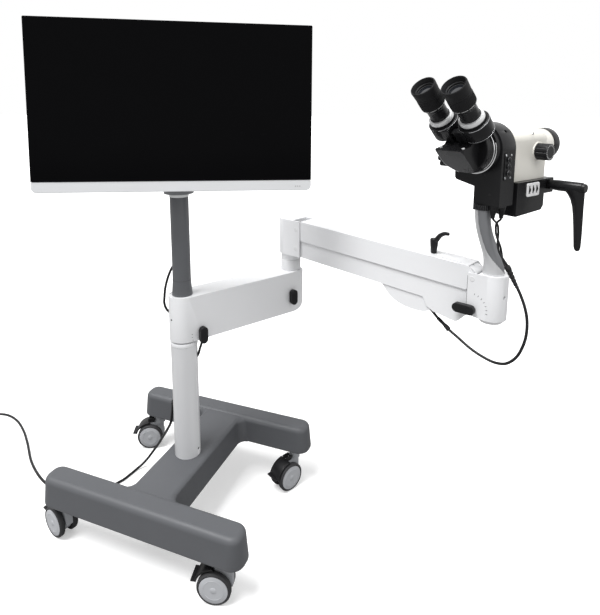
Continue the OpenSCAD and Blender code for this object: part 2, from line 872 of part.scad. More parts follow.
// castors
module castor_body(i) {
  color([0.66, 0.67, 0.69]) on_castor(i) difference() {
    union() {
      translate([trail, 0, wheel_r]) bar_y(-body_half, body_half, drum_r, fine);
      box([-neck_r * 0.6, -body_half, wheel_r], [trail, body_half, neck_low + play]);
      translate([0, 0, neck_low]) cylinder(h = neck_top - neck_low, r = neck_r, $fn = mid);
      translate([0, 0, neck_top - play]) cylinder(h = socket_low - race_gap - neck_top + play, r = race_r, $fn = mid);
      translate([0, 0, neck_low]) cylinder(h = stem_top - neck_low, r = stem_r, $fn = mid);
      box([0, -lug_half, neck_low], [pedal_x, lug_half, pedal_z + pedal_r]);
    }
    translate([trail, 0, wheel_r]) bar_y(-wheel_out, wheel_out, axle_r + play);
    translate([pedal_x, 0, pedal_z]) bar_y(-wheel_out, wheel_out, pedal_pin_r + play);
  }
}
module castor_pedal(i) {
  ho = hood_in + hood_wall;
  color([0.08, 0.08, 0.08]) on_castor(i) union() {
    translate([trail, 0, wheel_r]) side_cut(-hood_half, hood_half)
      polygon(concat(arc(0, 0, hood_in, hood_low_deg, hood_high_deg, 12), arc(0, 0, ho, hood_high_deg, hood_low_deg, 12)));
    translate([trail + ho * cos(hood_low_deg) - hood_wall, -hood_half, wheel_r + ho * sin(hood_low_deg)])
      cube([tread, hood_half * 2, hood_wall]);
    for (k = [-1, 1]) {
      translate([pedal_x, k * (lug_half + play * 4 + hood_wall * s_half), pedal_z])
        bar_y(-hood_wall * s_half, hood_wall * s_half, pedal_r);
      translate([pedal_x, k * (lug_half + play * 4 + hood_wall * s_half) - hood_wall * s_half, pedal_z - pedal_r * 1.7])
        cube([trail - pedal_x + hood_wall * 1.5, hood_wall, pedal_r * 2.6]);
    }
    translate([pedal_x, 0, pedal_z]) bar_y(-lug_half - hood_wall, lug_half + hood_wall, pedal_pin_r);
  }
}
module castor_wheels(i) {
  color([0.12, 0.12, 0.13]) on_castor(i) translate([trail, 0, wheel_r]) union() {
    for (k = [0, 1]) rotate([0, 0, k * 180]) rotate([90, 0, 0]) rotate_extrude($fn = fine) polygon([
      [0, wheel_in], [wheel_r - crest_r * s_half, wheel_in], [wheel_r, wheel_in + groove_width * 2],
      [wheel_r, wheel_out - groove_width * 2], [wheel_r - groove_width * 2, wheel_out],
      [disc_r + groove_width, wheel_out], [disc_r + groove_width, wheel_out - disc_groove],
      [disc_r, wheel_out - disc_groove], [disc_r, wheel_out - groove_width * 0.3],
      [disc_r * 0.6, wheel_out], [0, wheel_out]]);
    bar_y(-wheel_in - play, wheel_in + play, axle_r);
  }
}

// column and pole
module column() {
  color([0.9, 0.91, 0.92]) difference() {
    union() {
      translate([0, 0, column_low]) cylinder(h = column_top - column_low, r = column_r);
      translate([0, 0, column_top]) cylinder(h = collar_h, r = column_r + collar_out);
      translate([0, 0, column_top + collar_h]) cylinder(h = groove_h, r = column_r - groove_in);
    }
    translate([0, 0, column_low]) cylinder(h = column_top - plug_depth - column_low, r = column_r - column_wall);
    translate([0, 0, column_top - plug_depth + plug_floor]) cylinder(h = plug_depth * 2, r = spindle_r + play);
    translate([0, 0, foot_hole_z]) bar_x(0, column_r * 2, foot_hole_r);
  }
}
module spindle() {
  z0 = column_top - plug_depth + plug_floor;
  color([0.7, 0.71, 0.73]) translate([0, 0, z0]) cylinder(h = spindle_top - z0, r = spindle_r);
}
module pole() {
  z0 = extension_top + race_gap;
  color([0.36, 0.37, 0.39]) difference() {
    union() {
      translate([0, 0, z0]) cylinder(h = sleeve_h, r1 = sleeve_r, r2 = pole_r);
      translate([0, 0, z0 + sleeve_h]) cylinder(h = pole_top - z0 - sleeve_h, r = pole_r);
    }
    cylinder(h = spindle_top, r = spindle_r + play);
    translate([0, 0, pole_top - spigot_depth]) cylinder(h = spigot_depth * 2, r = spigot_r + play, $fn = mid);
    rotate([0, 0, 200]) translate([0, 0, pole_hole_z])
      bar_x(pole_r - foot_bevel, pole_r * 2, pole_hole_r, low);
  }
}
module pole_collar() {
  color([0.8, 0.81, 0.82]) difference() {
    translate([0, 0, pole_top]) cylinder(h = pole_collar_h, r = pole_collar_r);
    cylinder(h = pole_top * 2, r = spigot_r + play, $fn = mid);
  }
}

// monitor
module monitor_bracket() {
  z0 = pole_top + pole_collar_h + race_gap;
  color([0.2, 0.2, 0.21]) on_monitor() difference() {
    union() {
      translate([0, 0, z0]) cylinder(h = swivel_plate_t, r = swivel_plate_r);
      translate([0, 0, pole_top - spigot_depth + play]) cylinder(h = spigot_depth + pole_collar_h + swivel_plate_t * s_half, r = spigot_r, $fn = mid);
      box([-upright_half, upright_back - upright_t, z0 + swivel_plate_t - play], [upright_half, upright_back + upright_t, tilt_z + upright_rise]);
      translate([0, -tilt_out, tilt_z]) bar_x(-knuckle_half, knuckle_half, knuckle_r);
      box([-knuckle_half, -tilt_out, tilt_z - knuckle_r * 0.7], [knuckle_half, upright_back - upright_t + play, tilt_z + upright_rise]);
    }
    translate([0, -tilt_out, tilt_z]) bar_x(-knuckle_half * 2, knuckle_half * 2, tilt_pin_r + play);
    for (k = [0 : 2]) translate([0, upright_back, z0 + swivel_plate_t * 4 + k * knuckle_r * 4])
      bar_y(-upright_t * 2, upright_t * 2, tilt_pin_r * 1.5);
  }
}
module panel_plate(w, h, r, t) {
  rotate([90, 0, 0]) linear_extrude(height = t) round_rect(w, h, r);
}
module monitor_shell() {
  w = monitor_w - shell_rim * 2;
  h = glass_h + chin_h - shell_rim * 2;
  back = glass_t + shell_t + pack_t;
  color([0.82, 0.83, 0.84]) union() {
    on_panel() translate([0, 0, -chin_h / 2]) {
      translate([0, glass_t + shell_t, 0]) panel_plate(w, h, chin_r - shell_rim, shell_t);
      translate([0, back, -glass_h * 0.08]) panel_plate(pack_w, pack_h, chin_r, pack_t);
      translate([0, back + plate_t, tilt_z - monitor_z + chin_h / 2]) panel_plate(plate_side, plate_side, chin_r * s_half, plate_t);
    }
    on_monitor() translate([0, -tilt_out, tilt_z]) for (k = [-1, 1])
      translate([k * (knuckle_half + link_gap + knuckle_side / 2), 0, 0]) {
        bar_x(-knuckle_side / 2, knuckle_side / 2, knuckle_r);
        box([-knuckle_side / 2, -monitor_out + tilt_out + back + plate_t * s_half, -knuckle_r], [knuckle_side / 2, 0, knuckle_r]);
      }
    on_monitor() translate([0, -tilt_out, tilt_z])
      bar_x(-knuckle_half - knuckle_side, knuckle_half + knuckle_side, tilt_pin_r);
  }
}
module monitor_glass() {
  color([0.02, 0.02, 0.03]) on_panel() translate([0, glass_t, 0])
    rotate([90, 0, 0]) linear_extrude(height = glass_t) union() {
      translate([0, glass_r]) round_rect(monitor_w, glass_h - glass_r * 2, glass_r);
      translate([-monitor_w / 2, -glass_h / 2]) square([monitor_w, glass_h * s_half]);
    }
}
module monitor_chin() {
  color([0.78, 0.79, 0.8]) on_panel() translate([0, glass_t, -glass_h / 2])
    rotate([90, 0, 0]) linear_extrude(height = glass_t) union() {
      translate([0, -chin_h / 2]) round_rect(monitor_w, chin_h, chin_r);
      translate([-monitor_w / 2, -chin_h / 2]) square([monitor_w, chin_h / 2]);
    }
}

// extension arm
module extension_arm() {
  x1 = extension_reach + extension_over;
  color([0.9, 0.91, 0.92]) on_extension() difference() {
    intersection() {
      translate([0, 0, extension_low]) linear_extrude(height = extension_top - extension_low) union() {
        circle(r = extension_half);
        translate([0, -extension_half]) square([x1 - extension_corner, extension_half * 2]);
        translate([0, -extension_half + extension_corner]) square([x1, (extension_half - extension_corner) * 2]);
        for (k = [-1, 1]) translate([x1 - extension_corner, k * (extension_half - extension_corner)])
          circle(r = extension_corner, $fn = mid);
      }
      side_cut(-extension_half, extension_half) union() {
        translate([-extension_half, extension_low + extension_chin])
          square([x1 + extension_half, extension_top - extension_low - extension_chin]);
        translate([-extension_half, extension_low]) square([x1 + extension_half - extension_chin, extension_chin * 2]);
        translate([x1 - extension_chin, extension_low + extension_chin]) circle(r = extension_chin);
      }
    }
    translate([0, 0, extension_low - extension_chin]) cylinder(h = extension_top, r = spindle_r + play);
    translate([extension_reach, 0, extension_top - elbow_pin_low]) cylinder(h = extension_top, r = elbow_pin_r + play, $fn = mid);
    translate([knob_a_x, 0, knob_a_z]) bar_y(-extension_half * 2, -extension_half + knob_stem_l, knob_stem_r + play);
    translate([knob_b_x, 0, knob_b_z]) bar_y(-extension_half * 2, -extension_half + knob_stem_l, knob_stem_r + play);
    rotate([0, 0, 200]) translate([0, 0, hub_hole_z]) bar_x(spindle_r + column_wall, extension_half * 2, hub_hole_r);
  }
}
// rounded turning knob, face towards minus y, axis at the origin
module grip(l, w, h, stem_r, stem_l, back) {
  r = w / 2;
  color([0.05, 0.05, 0.05]) union() {
    bar_y(-knob_gap - knob_foot, stem_l, stem_r);
    side_cut(-knob_gap - knob_foot, -knob_gap) translate([0, back]) round_rect(w - knob_step * 2, l - knob_step * 2, r - knob_step - play);
    side_cut(-h, -knob_gap - knob_foot) translate([0, back]) round_rect(w, l, r - play);
  }
}
module knob_a() {
  on_extension() translate([knob_a_x, -extension_half, knob_a_z])
    grip(knob_l, knob_w, knob_h, knob_stem_r, knob_stem_l - knob_gap, 0);
}
module knob_b() {
  on_extension() translate([knob_b_x, -extension_half, knob_b_z])
    grip(knob_l, knob_w, knob_h, knob_stem_r, knob_stem_l - knob_gap, 0);
}

// elbow and balanced arm
module elbow_foot() {
  color([0.86, 0.87, 0.88]) on_arm() union() {
    translate([0, 0, extension_top]) cylinder(h = elbow_foot_h, r = elbow_foot_r);
    translate([0, 0, extension_top - elbow_pin_low + play]) cylinder(h = elbow_pin_low + elbow_foot_h + elbow_pin_up, r = elbow_pin_r, $fn = mid);
  }
}
module elbow_block() {
  z0 = extension_top + elbow_foot_h + elbow_gap;
  z1 = z0 + elbow_neck_h;
  inner = cheek_out - cheek_t;
  color([0.9, 0.91, 0.92]) on_arm() difference() {
    union() {
      translate([0, 0, z0]) cylinder(h = elbow_neck_h + play, r = elbow_neck_r);
      translate([0, 0, z1]) cylinder(h = elbow_block_h, r = elbow_round_r);
      box([0, -cheek_out, z1], [link_start + cheek_past, cheek_out, z1 + elbow_block_h]);
      for (d = [0, pin_gap]) translate([link_start, 0, upper_pin_z - d]) bar_y(-cheek_out, cheek_out, pin_r);
    }
    difference() {
      box([link_start - fork_back, -inner, z1 - play], [link_start * 2, inner, z1 + elbow_block_h * 2]);
      for (d = [0, pin_gap]) translate([link_start, 0, upper_pin_z - d]) bar_y(-cheek_out, cheek_out, pin_r);
    }
    translate([0, 0, z0 - play]) cylinder(h = elbow_pin_up + elbow_gap + play, r = elbow_pin_r + play, $fn = mid);
  }
}
module upper_link() {
  a = -upper_drop;
  color([0.92, 0.93, 0.94]) on_upper() difference() {
    union() {
      for (k = [-1, 1]) translate([0, k * (link_half - link_wall / 2), 0]) side_cut(-link_wall / 2, link_wall / 2) union() {
        circle(r = link_end_r, $fn = mid);
        translate([link_l, 0]) circle(r = link_end_r, $fn = mid);
        polygon([[0, -link_end_r], [link_full, a], [link_l - link_full, a], [link_l, -link_end_r],
          [link_l, link_end_r], [link_l - link_full, upper_rise], [link_full, upper_rise], [0, link_end_r]]);
      }
      box([link_full, -link_half, upper_rise - link_wall], [link_l - link_full, link_half, upper_rise]);
    }
    for (x = [0, link_l]) translate([x, 0, 0]) bar_y(-cheek_out, cheek_out, pin_r + play);
    translate([lever_x, 0, 0]) cylinder(h = upper_rise * 2, r = lever_screw_r + play * 4, $fn = low);
  }
}
module lower_link() {
  b = -lower_drop;
  bb = cover_b_x + cover_b_l;
  color([0.9, 0.91, 0.92]) on_lower() difference() {
    union() {
      for (k = [-1, 1]) translate([0, k * (lower_half - link_wall / 2), 0]) side_cut(-link_wall / 2, link_wall / 2) union() {
        circle(r = link_end_r, $fn = mid);
        translate([link_l, 0]) circle(r = link_end_r, $fn = mid);
        polygon([[0, -link_end_r], [link_full, b], [link_l - link_full, b], [link_l, -link_end_r],
          [link_l, link_end_r], [link_l - link_full, lower_rise], [link_full, lower_rise], [0, link_end_r]]);
      }
      box([link_full, -lower_half, b], [link_l - link_full, lower_half, b + link_wall]);
      side_cut(-cover_a_half, cover_a_half)
        polygon(concat([[cover_a_x, b], [cover_a_x + cover_a_l, b]],
          arc(cover_a_x + cover_a_l * 0.78, b - cover_a_h + cover_a_l * 0.18, cover_a_l * 0.18, -8, -90, 8),
          arc(cover_a_x + cover_a_l * 0.46, b - cover_a_h + cover_a_l * 0.22, cover_a_l * 0.22, -90, -150, 8)));
      side_cut(-lower_half, lower_half)
        polygon(concat([[cover_b_x, b], [bb, b]],
          arc(bb - cover_b_front * s_half, b - cover_b_front * s_half, cover_b_front * s_half, 0, -80, 8),
          [[cover_b_x + cover_b_h, b - cover_b_h], [cover_b_x + cover_b_h * 0.4, b - cover_b_h * 0.7]]));
    }
    for (x = [0, link_l]) translate([x, 0, 0]) bar_y(-cheek_out, cheek_out, pin_r + (x > 0 ? link_gap : play));
  }
}
module gas_spring() {
  x1 = gas_start + gas_tube_l;
  inner = lower_half - link_wall;
  color([0.3, 0.3, 0.31]) on_lower() translate([0, 0, gas_z]) union() {
    bar_x(gas_start, x1, gas_r);
    bar_x(x1 - play, x1 + gas_rod_l, gas_rod_r, low);
    translate([gas_start, 0, 0]) bar_y(-inner, inner, gas_rod_r * 1.5);
    translate([x1 + gas_rod_l, 0, 0]) bar_y(-inner, inner, gas_rod_r * 1.5);
  }
}
module small_lever() {
  color([0.07, 0.07, 0.07]) on_upper() translate([lever_x, 0, upper_rise]) rotate([0, -arm_slope, 0]) union() {
    translate([0, 0, lever_gap]) cylinder(h = lever_hub_h, r1 = lever_r, r2 = lever_head_r, $fn = mid);
    translate([0, 0, -upper_rise * s_half]) cylinder(h = upper_rise, r = lever_screw_r, $fn = low);
    rotate([0, 0, -20]) tube(spline([[0, 0, lever_hub_h - lever_head_r * s_half],
      [lever_reach * 0.35, 0, lever_hub_h + lever_rise * 0.45], [lever_reach * 0.7, 0, lever_hub_h + lever_rise * 0.85],
      [lever_reach, 0, lever_hub_h + lever_rise]], 4), lever_tip_r, 12);
  }
}
module end_hub() {
  inner = cheek_out - cheek_t;
  color([0.92, 0.93, 0.94]) on_hub() difference() {
    union() {
      translate([hub_reach, 0, -hub_drop]) cylinder(h = hub_round, r1 = hub_r - hub_round, r2 = hub_r);
      translate([hub_reach, 0, hub_round - hub_drop]) cylinder(h = hub_rise + hub_drop - hub_round, r = hub_r);
      side_cut(-cheek_out, cheek_out) polygon([[-hub_cheek, hub_round * 1.5 - hub_drop], [hub_reach, hub_round - hub_drop],
        [hub_reach, hub_rise], [-hub_cheek, hub_rise]]);
    }
    difference() {
      box([-link_l, -inner, -hub_drop * 2], [hub_fork, inner, hub_drop]);
      for (d = [0, pin_gap]) translate([0, 0, -d]) bar_y(-cheek_out, cheek_out, pin_r);
    }
    translate([hub_reach, 0, hub_rise - post_spigot_l]) cylinder(h = post_spigot_l * 2, r = post_spigot_r + play, $fn = mid);
    translate([0, 0, -knob_c_drop]) bar_y(-cheek_out * 2, -inner - play, knob_stem_r + play);
    translate([hub_reach, 0, -hub_screw_drop]) rotate([0, 0, -20]) bar_x(hub_r - foot_bevel, hub_r * 2, hub_screw_r);
  }
}
module tension_knob() {
  on_hub() translate([0, -cheek_out, -knob_c_drop]) rotate([0, 90, 0])
    grip(knob_c_l, knob_w, knob_h, knob_stem_r, knob_c_stem, knob_c_front - knob_c_l / 2);
}

// swivel post
post_rows = [[0, 0, 1], [0.08, 0.01, 0.98], [0.17, 0.05, 0.93], [0.28, 0.17, 0.86], [0.38, 0.34, 0.8],
  [0.48, 0.52, 0.76], [0.6, 0.71, 0.73], [0.72, 0.86, 0.72], [0.84, 0.95, 0.72], [1, 1, 0.72]];
module swivel_post() {
  color([0.55, 0.56, 0.58]) on_post() union() {
    loft([for (q = post_rows) let (r = post_r * q[2])
      [for (a = [0 : 15 : 345]) [
        post_shift * q[1] * cos(post_heading) + r * cos(a), post_shift * q[1] * sin(post_heading) + r * sin(a),
        post_h * q[0]]]]);
    translate([0, 0, -post_spigot_l + post_gap * 2]) cylinder(h = post_spigot_l, r = post_spigot_r, $fn = mid);
    translate([post_shift * cos(post_heading), post_shift * sin(post_heading), post_h - play])
      cylinder(h = head_pin_l, r = head_pin_r, $fn = mid);
  }
}

// head
module head_housing() {
  color([0.09, 0.09, 0.1]) on_head() difference() {
    union() {
      side_cut(-house_front, house_back) union() {
        translate([-axis_side, axis_rise]) circle(r = house_r);
        polygon([[-neck_side, 0], [house_r - axis_side, 0], [house_r - axis_side, axis_rise], [-axis_side, axis_rise],
          [-axis_side - house_r, axis_rise], [-axis_side - chin_reach, chin_rise + crest_r * s_half],
          [-axis_side - chin_reach + crest_r * s_half, chin_rise], [-neck_side, neck_rise]]);
      }
      translate([-axis_side, 0, axis_rise]) bar_y(-house_front - boss_t, -house_front, boss_r, fine);
      translate([0, 0, -ribbed_h]) cylinder(h = ribbed_h, r = ribbed_r);
    }
    translate([0, 0, -ribbed_h - post_gap]) cylinder(h = head_pin_l + post_gap, r = head_pin_r + play, $fn = mid);
    for (k = [-1 : 1]) translate([house_r - axis_side, panel_y, panel_z + k * button_step]) {
      bar_x(-button_in, house_r, button_r * 0.6 + play, mid);
      bar_x(-button_travel, house_r, button_r + play, mid);
    }
    translate([-axis_side, house_back * s_half, axis_rise]) rotate([0, -42, 0]) bar_x(house_r - crest_r, house_r * 2, foot_hole_r, low);
    translate([-axis_side - house_r, lobed_y, lobed_z]) bar_x(-house_r, lobed_shaft_l, lobed_shaft_r + play, mid);
  }
}
module chrome_ring() {
  color([0.8, 0.81, 0.82]) on_head() translate([-axis_side, 0, axis_rise])
    bar_y(-house_front - boss_t - chrome_t, -house_front - boss_t, chrome_r, fine);
}
module button_panel() {
  color([0.12, 0.12, 0.13]) on_head() difference() {
    translate([house_r - axis_side, panel_y, panel_z]) rotate([90, 0, 90]) linear_extrude(height = panel_t)
      round_rect(panel_w, panel_h, foot_bevel);
    for (k = [-1 : 1]) translate([0, panel_y, panel_z + k * button_step]) bar_x(0, house_r * 2, button_r + play, mid);
  }
}
module push_button(k) {
  x0 = house_r - axis_side;
  color([0.04, 0.04, 0.04]) on_head() translate([x0, panel_y, panel_z - k * button_step]) union() {
    bar_x(link_gap, panel_t + button_out, button_r, mid);
    bar_x(-button_in + foot_bevel * 2, link_gap + play, button_r * 0.6, low);
  }
}
module wedge() {
  f = -house_front - boss_t - chrome_t;
  t = prism_low / sin(eye_slope);
  color([0.1, 0.1, 0.11]) on_head() difference() {
    intersection() {
      translate([-axis_side - wedge_half, 0, 0]) rotate([90, 0, 90]) linear_extrude(height = wedge_half * 2) polygon([
        [f, wedge_low], [-wedge_reach * s_half, wedge_low], [-wedge_reach, wedge_tip - foot_bevel * 3],
        [-wedge_reach, wedge_tip], [-eye_front - t - axis_rise + wedge_tip, wedge_tip], [f, f + eye_front + t + axis_rise]]);
      union() {
        translate([-axis_side, f - wedge_half, 0]) cylinder(h = axis_rise * 2, r = wedge_half * 1.7);
        translate([-axis_side - wedge_half, -wedge_reach + crest_r, 0]) cube([wedge_half * 2, wedge_reach, axis_rise * 2]);
        translate([-axis_side - wedge_half + crest_r, -wedge_reach, 0])
          cube([(wedge_half - crest_r) * 2, wedge_reach, axis_rise * 2]);
      }
    }
    translate([-eye_shift - axis_side, -eye_front, axis_rise]) rotate([eye_slope, 0, 0])
      translate([0, -pin_r, prism_low * s_half]) cylinder(h = prism_high, r = fold_r + play, $fn = mid);
    for (k = [-1, 1]) translate([-axis_side + k * (wedge_half - pin_r), -wedge_reach + pin_r, wedge_tip - pin_r])
      cylinder(h = pin_r * 2, r = wedge_screw_r, $fn = low);
  }
}
module eye_tube(k) {
  z2 = prism_high + silver_l;
  lug = fold_r * 1.5;
  color([0.09, 0.09, 0.1]) on_eyes() union() {
    if (k > 0) translate([0, -pin_r, prism_low * 0.6]) cylinder(h = prism_high * s_half, r = fold_r, $fn = mid);
    difference() {
      union() {
        translate([0, 0, prism_low + link_gap]) linear_extrude(height = prism_high - prism_low - link_gap) union() {
          translate([k * eye_half, eye_lift]) circle(r = prism_r);
          polygon([[k * (eye_half - prism_r * 0.92), eye_lift], [k * (eye_half - prism_r * 0.86), -prism_r * 0.8],
            [k * (eye_half + prism_r * 0.1), -prism_r * 0.6], [k * (eye_half + prism_r * 0.93), eye_lift - prism_r * 0.36],
            [k * eye_half, eye_lift + prism_r * s_half]]);
        }
        translate([0, -pin_r, prism_low + link_gap + (k < 0 ? lug + link_gap : 0)]) union() {
          cylinder(h = lug, r = fold_r * 1.3, $fn = mid);
          box([k > 0 ? 0 : -fold_r * 2.2, -fold_r * 0.9, 0], [k > 0 ? fold_r * 2.2 : 0, fold_r * 0.9, lug]);
        }
        translate([k * eye_half, eye_lift, prism_high]) cylinder(h = silver_l, r1 = silver_r, r2 = silver_r - foot_bevel);
        translate([k * eye_half, eye_lift, z2]) cylinder(h = focus_low - z2, r = tube_r);
        translate([k * eye_half, eye_lift, focus_low]) cylinder(h = focus_high - focus_low + link_gap, r = tube_r - foot_bevel);
        translate([k * eye_half, eye_lift, focus_high + link_gap]) cylinder(h = cup_high - focus_high - link_gap, r = cup_r);
      }
      translate([k * eye_half, eye_lift, cup_high - cup_wall * 2]) cylinder(h = cup_wall * 4, r1 = cup_r - cup_wall * 2, r2 = cup_r - cup_wall * 0.2 + cup_wall);
      translate([k * eye_half, eye_lift, cup_high - cup_wall * 4]) cylinder(h = cup_wall * 4, r = lens_r + play);
      if (k < 0) translate([0, -pin_r, 0]) cylinder(h = cup_high, r = fold_r + play, $fn = mid);
    }
    translate([k * eye_half, eye_lift, cup_high - cup_wall * 4]) cylinder(h = lens_t, r = lens_r);
  }
}
module focus_ring(k) {
  color([0.06, 0.06, 0.06]) on_eyes() translate([k * eye_half, eye_lift, focus_low + link_gap]) difference() {
    cylinder(h = focus_high - focus_low - link_gap, r = focus_r);
    translate([0, 0, -play]) cylinder(h = focus_high, r = tube_r - foot_bevel + play);
  }
}

// zoom pod
module zoom_pod() {
  y1 = house_back + pod_l;
  color([0.88, 0.87, 0.83]) on_head() difference() {
    union() {
      side_cut(house_back, y1) translate([-axis_side, 0]) union() {
        translate([-pod_half, pod_low]) square([pod_half * 2, pod_high - pod_low - pod_edge]);
        translate([-pod_half + pod_edge, pod_low]) square([(pod_half - pod_edge) * 2, pod_high - pod_low]);
        for (k = [-1, 1]) translate([k * (pod_half - pod_edge), pod_high - pod_edge]) circle(r = pod_edge);
      }
      translate([-axis_side, 0, axis_rise]) bar_y(y1 - play, y1 + snout_l, snout_r, fine);
      translate([pod_half - axis_side - play, zoom_y, zoom_z]) bar_x(0, zoom_boss_h + play, zoom_boss_r, fine);
    }
    translate([pod_half - axis_side - zoom_shaft_l, zoom_y, zoom_z]) bar_x(0, zoom_shaft_l * 2, zoom_shaft_r + play, mid);
    translate([-axis_side, 0, axis_rise]) bar_y(y1 + snout_l - objective_in, y1 + snout_l + ring_l, objective_r, fine);
  }
}
module zoom_knob() {
  color([0.05, 0.05, 0.05]) on_head() translate([pod_half - axis_side + zoom_boss_h, zoom_y, zoom_z]) union() {
    difference() {
      bar_x(link_gap, zoom_l, zoom_r, fine);
      for (a = [0 : 30 : 330]) rotate([a, 0, 0]) translate([0, 0, zoom_r + foot_bevel * 0.4]) bar_x(link_gap + foot_bevel, zoom_l * 2, foot_bevel, low);
    }
    bar_x(-zoom_shaft_l + zoom_boss_h + play, link_gap + play, zoom_shaft_r, mid);
  }
}
module objective_ring() {
  y2 = house_back + pod_l + snout_l;
  color([0.07, 0.07, 0.08]) on_head() translate([-axis_side, 0, axis_rise]) union() {
    difference() {
      bar_y(y2, y2 + ring_l, ring_r, fine);
      bar_y(y2 - ring_l, y2 + ring_l * 2, objective_r, fine);
    }
    bar_y(y2 + objective_in, y2 + objective_in + objective_t, objective_r + play, fine);
  }
}

// lamp box
module lamp_box() {
  z1 = pod_low;
  y1 = lamp_front + lamp_l;
  color([0.07, 0.07, 0.08]) on_head() difference() {
    union() {
      translate([lamp_side - lamp_w, 0, 0]) rotate([90, 0, 90]) linear_extrude(height = lamp_w) polygon([
        [lamp_front, z1 - lamp_h], [y1 - crest_r, z1 - lamp_h + lamp_rise], [y1, z1 - lamp_h + lamp_rise + crest_r],
        [y1, z1], [lamp_front, z1]]);
      box([lamp_side - lamp_w * 0.7, y1 - play, z1 - clamp_h], [lamp_side - foot_bevel, y1 + clamp_l, z1]);
    }
    translate([0, dial_y, z1 - dial_drop]) for (k = [-1 : 1]) translate([0, k * wheel_step, 0])
      box([lamp_side - thumb_r * 2, -thumb_t / 2 - link_gap, -thumb_r - link_gap], [lamp_side * 2, thumb_t / 2 + link_gap, thumb_r + link_gap]);
    translate([lamp_side + dial_t + thumb_out - thumb_r, dial_y, z1 - dial_drop])
      bar_y(-wheel_step * 1.5, wheel_step * 1.5, pedal_pin_r + play, low);
    translate([lamp_side - handle_l * s_half, handle_y, handle_z]) bar_x(0, handle_l, handle_shaft_r + play, mid);
  }
}
module dial_plate() {
  color([0.93, 0.93, 0.93]) on_head() difference() {
    translate([lamp_side, dial_y, pod_low - dial_drop]) rotate([90, 0, 90]) linear_extrude(height = dial_t)
      round_rect(dial_w, dial_h, foot_bevel * 2);
    translate([0, dial_y, pod_low - dial_drop]) for (k = [-1 : 1]) translate([0, k * wheel_step, 0])
      box([0, -thumb_t / 2 - link_gap, -thumb_r - link_gap], [lamp_side * 2, thumb_t / 2 + link_gap, thumb_r + link_gap]);
  }
}
module thumb_wheels() {
  color([0.15, 0.15, 0.16]) on_head() translate([lamp_side + dial_t + thumb_out - thumb_r, dial_y, pod_low - dial_drop]) union() {
    for (k = [-1 : 1]) translate([0, k * wheel_step, 0]) bar_y(-thumb_t / 2, thumb_t / 2, thumb_r, mid);
    bar_y(-wheel_step * 1.4, wheel_step * 1.4, pedal_pin_r, low);
  }
}
module lobed_knob() {
  color([0.06, 0.06, 0.06]) on_head() translate([-axis_side - house_r, lobed_y, lobed_z]) union() {
    translate([-lobed_out - lobed_l, 0, 0]) rotate([90, 0, 90]) linear_extrude(height = lobed_l) union() {
      circle(r = lobed_r);
      for (a = [0 : 60 : 300]) rotate(a) translate([lobed_r, 0]) circle(r = lobe_r, $fn = mid);
    }
    bar_x(-lobed_out - play, lobed_shaft_l - foot_bevel, lobed_shaft_r, mid);
  }
}
module clamp_handle() {
  x0 = lamp_side - foot_bevel + handle_gap;
  x1 = x0 + handle_l;
  r = handle_r;
  color([0.08, 0.08, 0.09]) on_head() translate([0, handle_y, handle_z]) union() {
    bar_x(x0, x1, r, fine);
    bar_x(lamp_side - handle_l * s_half + foot_bevel, x0 + play, handle_shaft_r, mid);
    bar_x(x1 - play, x1 + handle_button_h, handle_button_r, mid);
    loft([for (q = [[0, 1, 0], [0.08, 1.04, 0.2], [0.2, 0.85, 0.45], [0.4, 0.7, 0.75], [0.65, 0.6, 0.9], [0.9, 0.52, 1], [0.98, 0.4, 1], [1, 0.2, 1]])
      let (w = r * q[1], t = max(handle_tip * q[1] * 1.7, handle_tip * 0.4), c = x1 - r * 1.1 + handle_lean * 2 * q[2])
      [for (a = [0 : 30 : 330]) [c + w * cos(a), t * sin(-a), -handle_drop * q[0]]]]);
  }
}

// cords
module cord(route, steps, n = 8) {
  p = spline(route, steps);
  tube([for (q = p) [q[0] * mm, q[1] * mm, q[2] * mm]], [for (q = p) q[3]], n);
}
module head_connectors() {
  x0 = ribbed_r + play * 20;
  color([0.05, 0.05, 0.05]) on_head() union() {
    box([x0, -connector_r * 1.4, -plate_t * s_half], [house_r - axis_side, connector_r * 3, 0]);
    for (q = [[24.5, -2], [34, 12]]) translate([q[0] * mm, q[1] * mm, -connector_l]) union() {
      cylinder(h = connector_l * 0.45, r1 = connector_r * 0.6, r2 = connector_r * 0.85, $fn = low);
      translate([0, 0, connector_l * 0.45]) cylinder(h = connector_l * 0.55, r = connector_r, $fn = mid);
    }
  }
}
cable_route = [
  [568, 141, 598, 2.2], [578, 135, 590, 2.2], [590, 128, 580, 2.4], [594, 126, 577, 5.5], [613, 115, 565, 5.5],
  [618, 112, 561, 3], [638, 101, 551, 3], [667, 84, 537, 3], [695, 69, 529, 3], [718, 56, 528, 3],
  [738, 45, 536, 3], [755, 35, 558, 3], [765, 29, 587, 3], [769, 27, 614, 3], [768, 28, 642, 3], [762, 31, 667, 3],
  [752, 36, 691, 3.2], [743, 41, 707, 5], [737, 45, 718, 6.5], [729, 49, 733, 6.5], [726, 51, 738, 5]];
lead_a_route = [
  [694.6, 65.1, 828.6], [695, 65, 822], [699, 62, 803], [705, 60, 777], [714, 56, 756], [724, 52, 737]];
lead_end = [726, 51, 736];
lead_b_route = [
  [710.1, 72, 828.6], [710, 71, 822], [711, 63, 805], [715, 57, 779], [721, 53, 758], [727, 50.5, 737]];
pole_route = [
  [-19.8, -7.2, 669], [-27, -10.5, 664], [-35, -14, 633], [-41, -16, 600], [-42, -16.5, 578], [-38, -15, 562], [-30.6, -12.3, 551]];
arm_route = [
  [41, 17, 484.2], [41, 17, 478], [39.5, 16, 468], [36, 14.5, 456], [33, 13, 444], [29.2, 11.6, 436]];
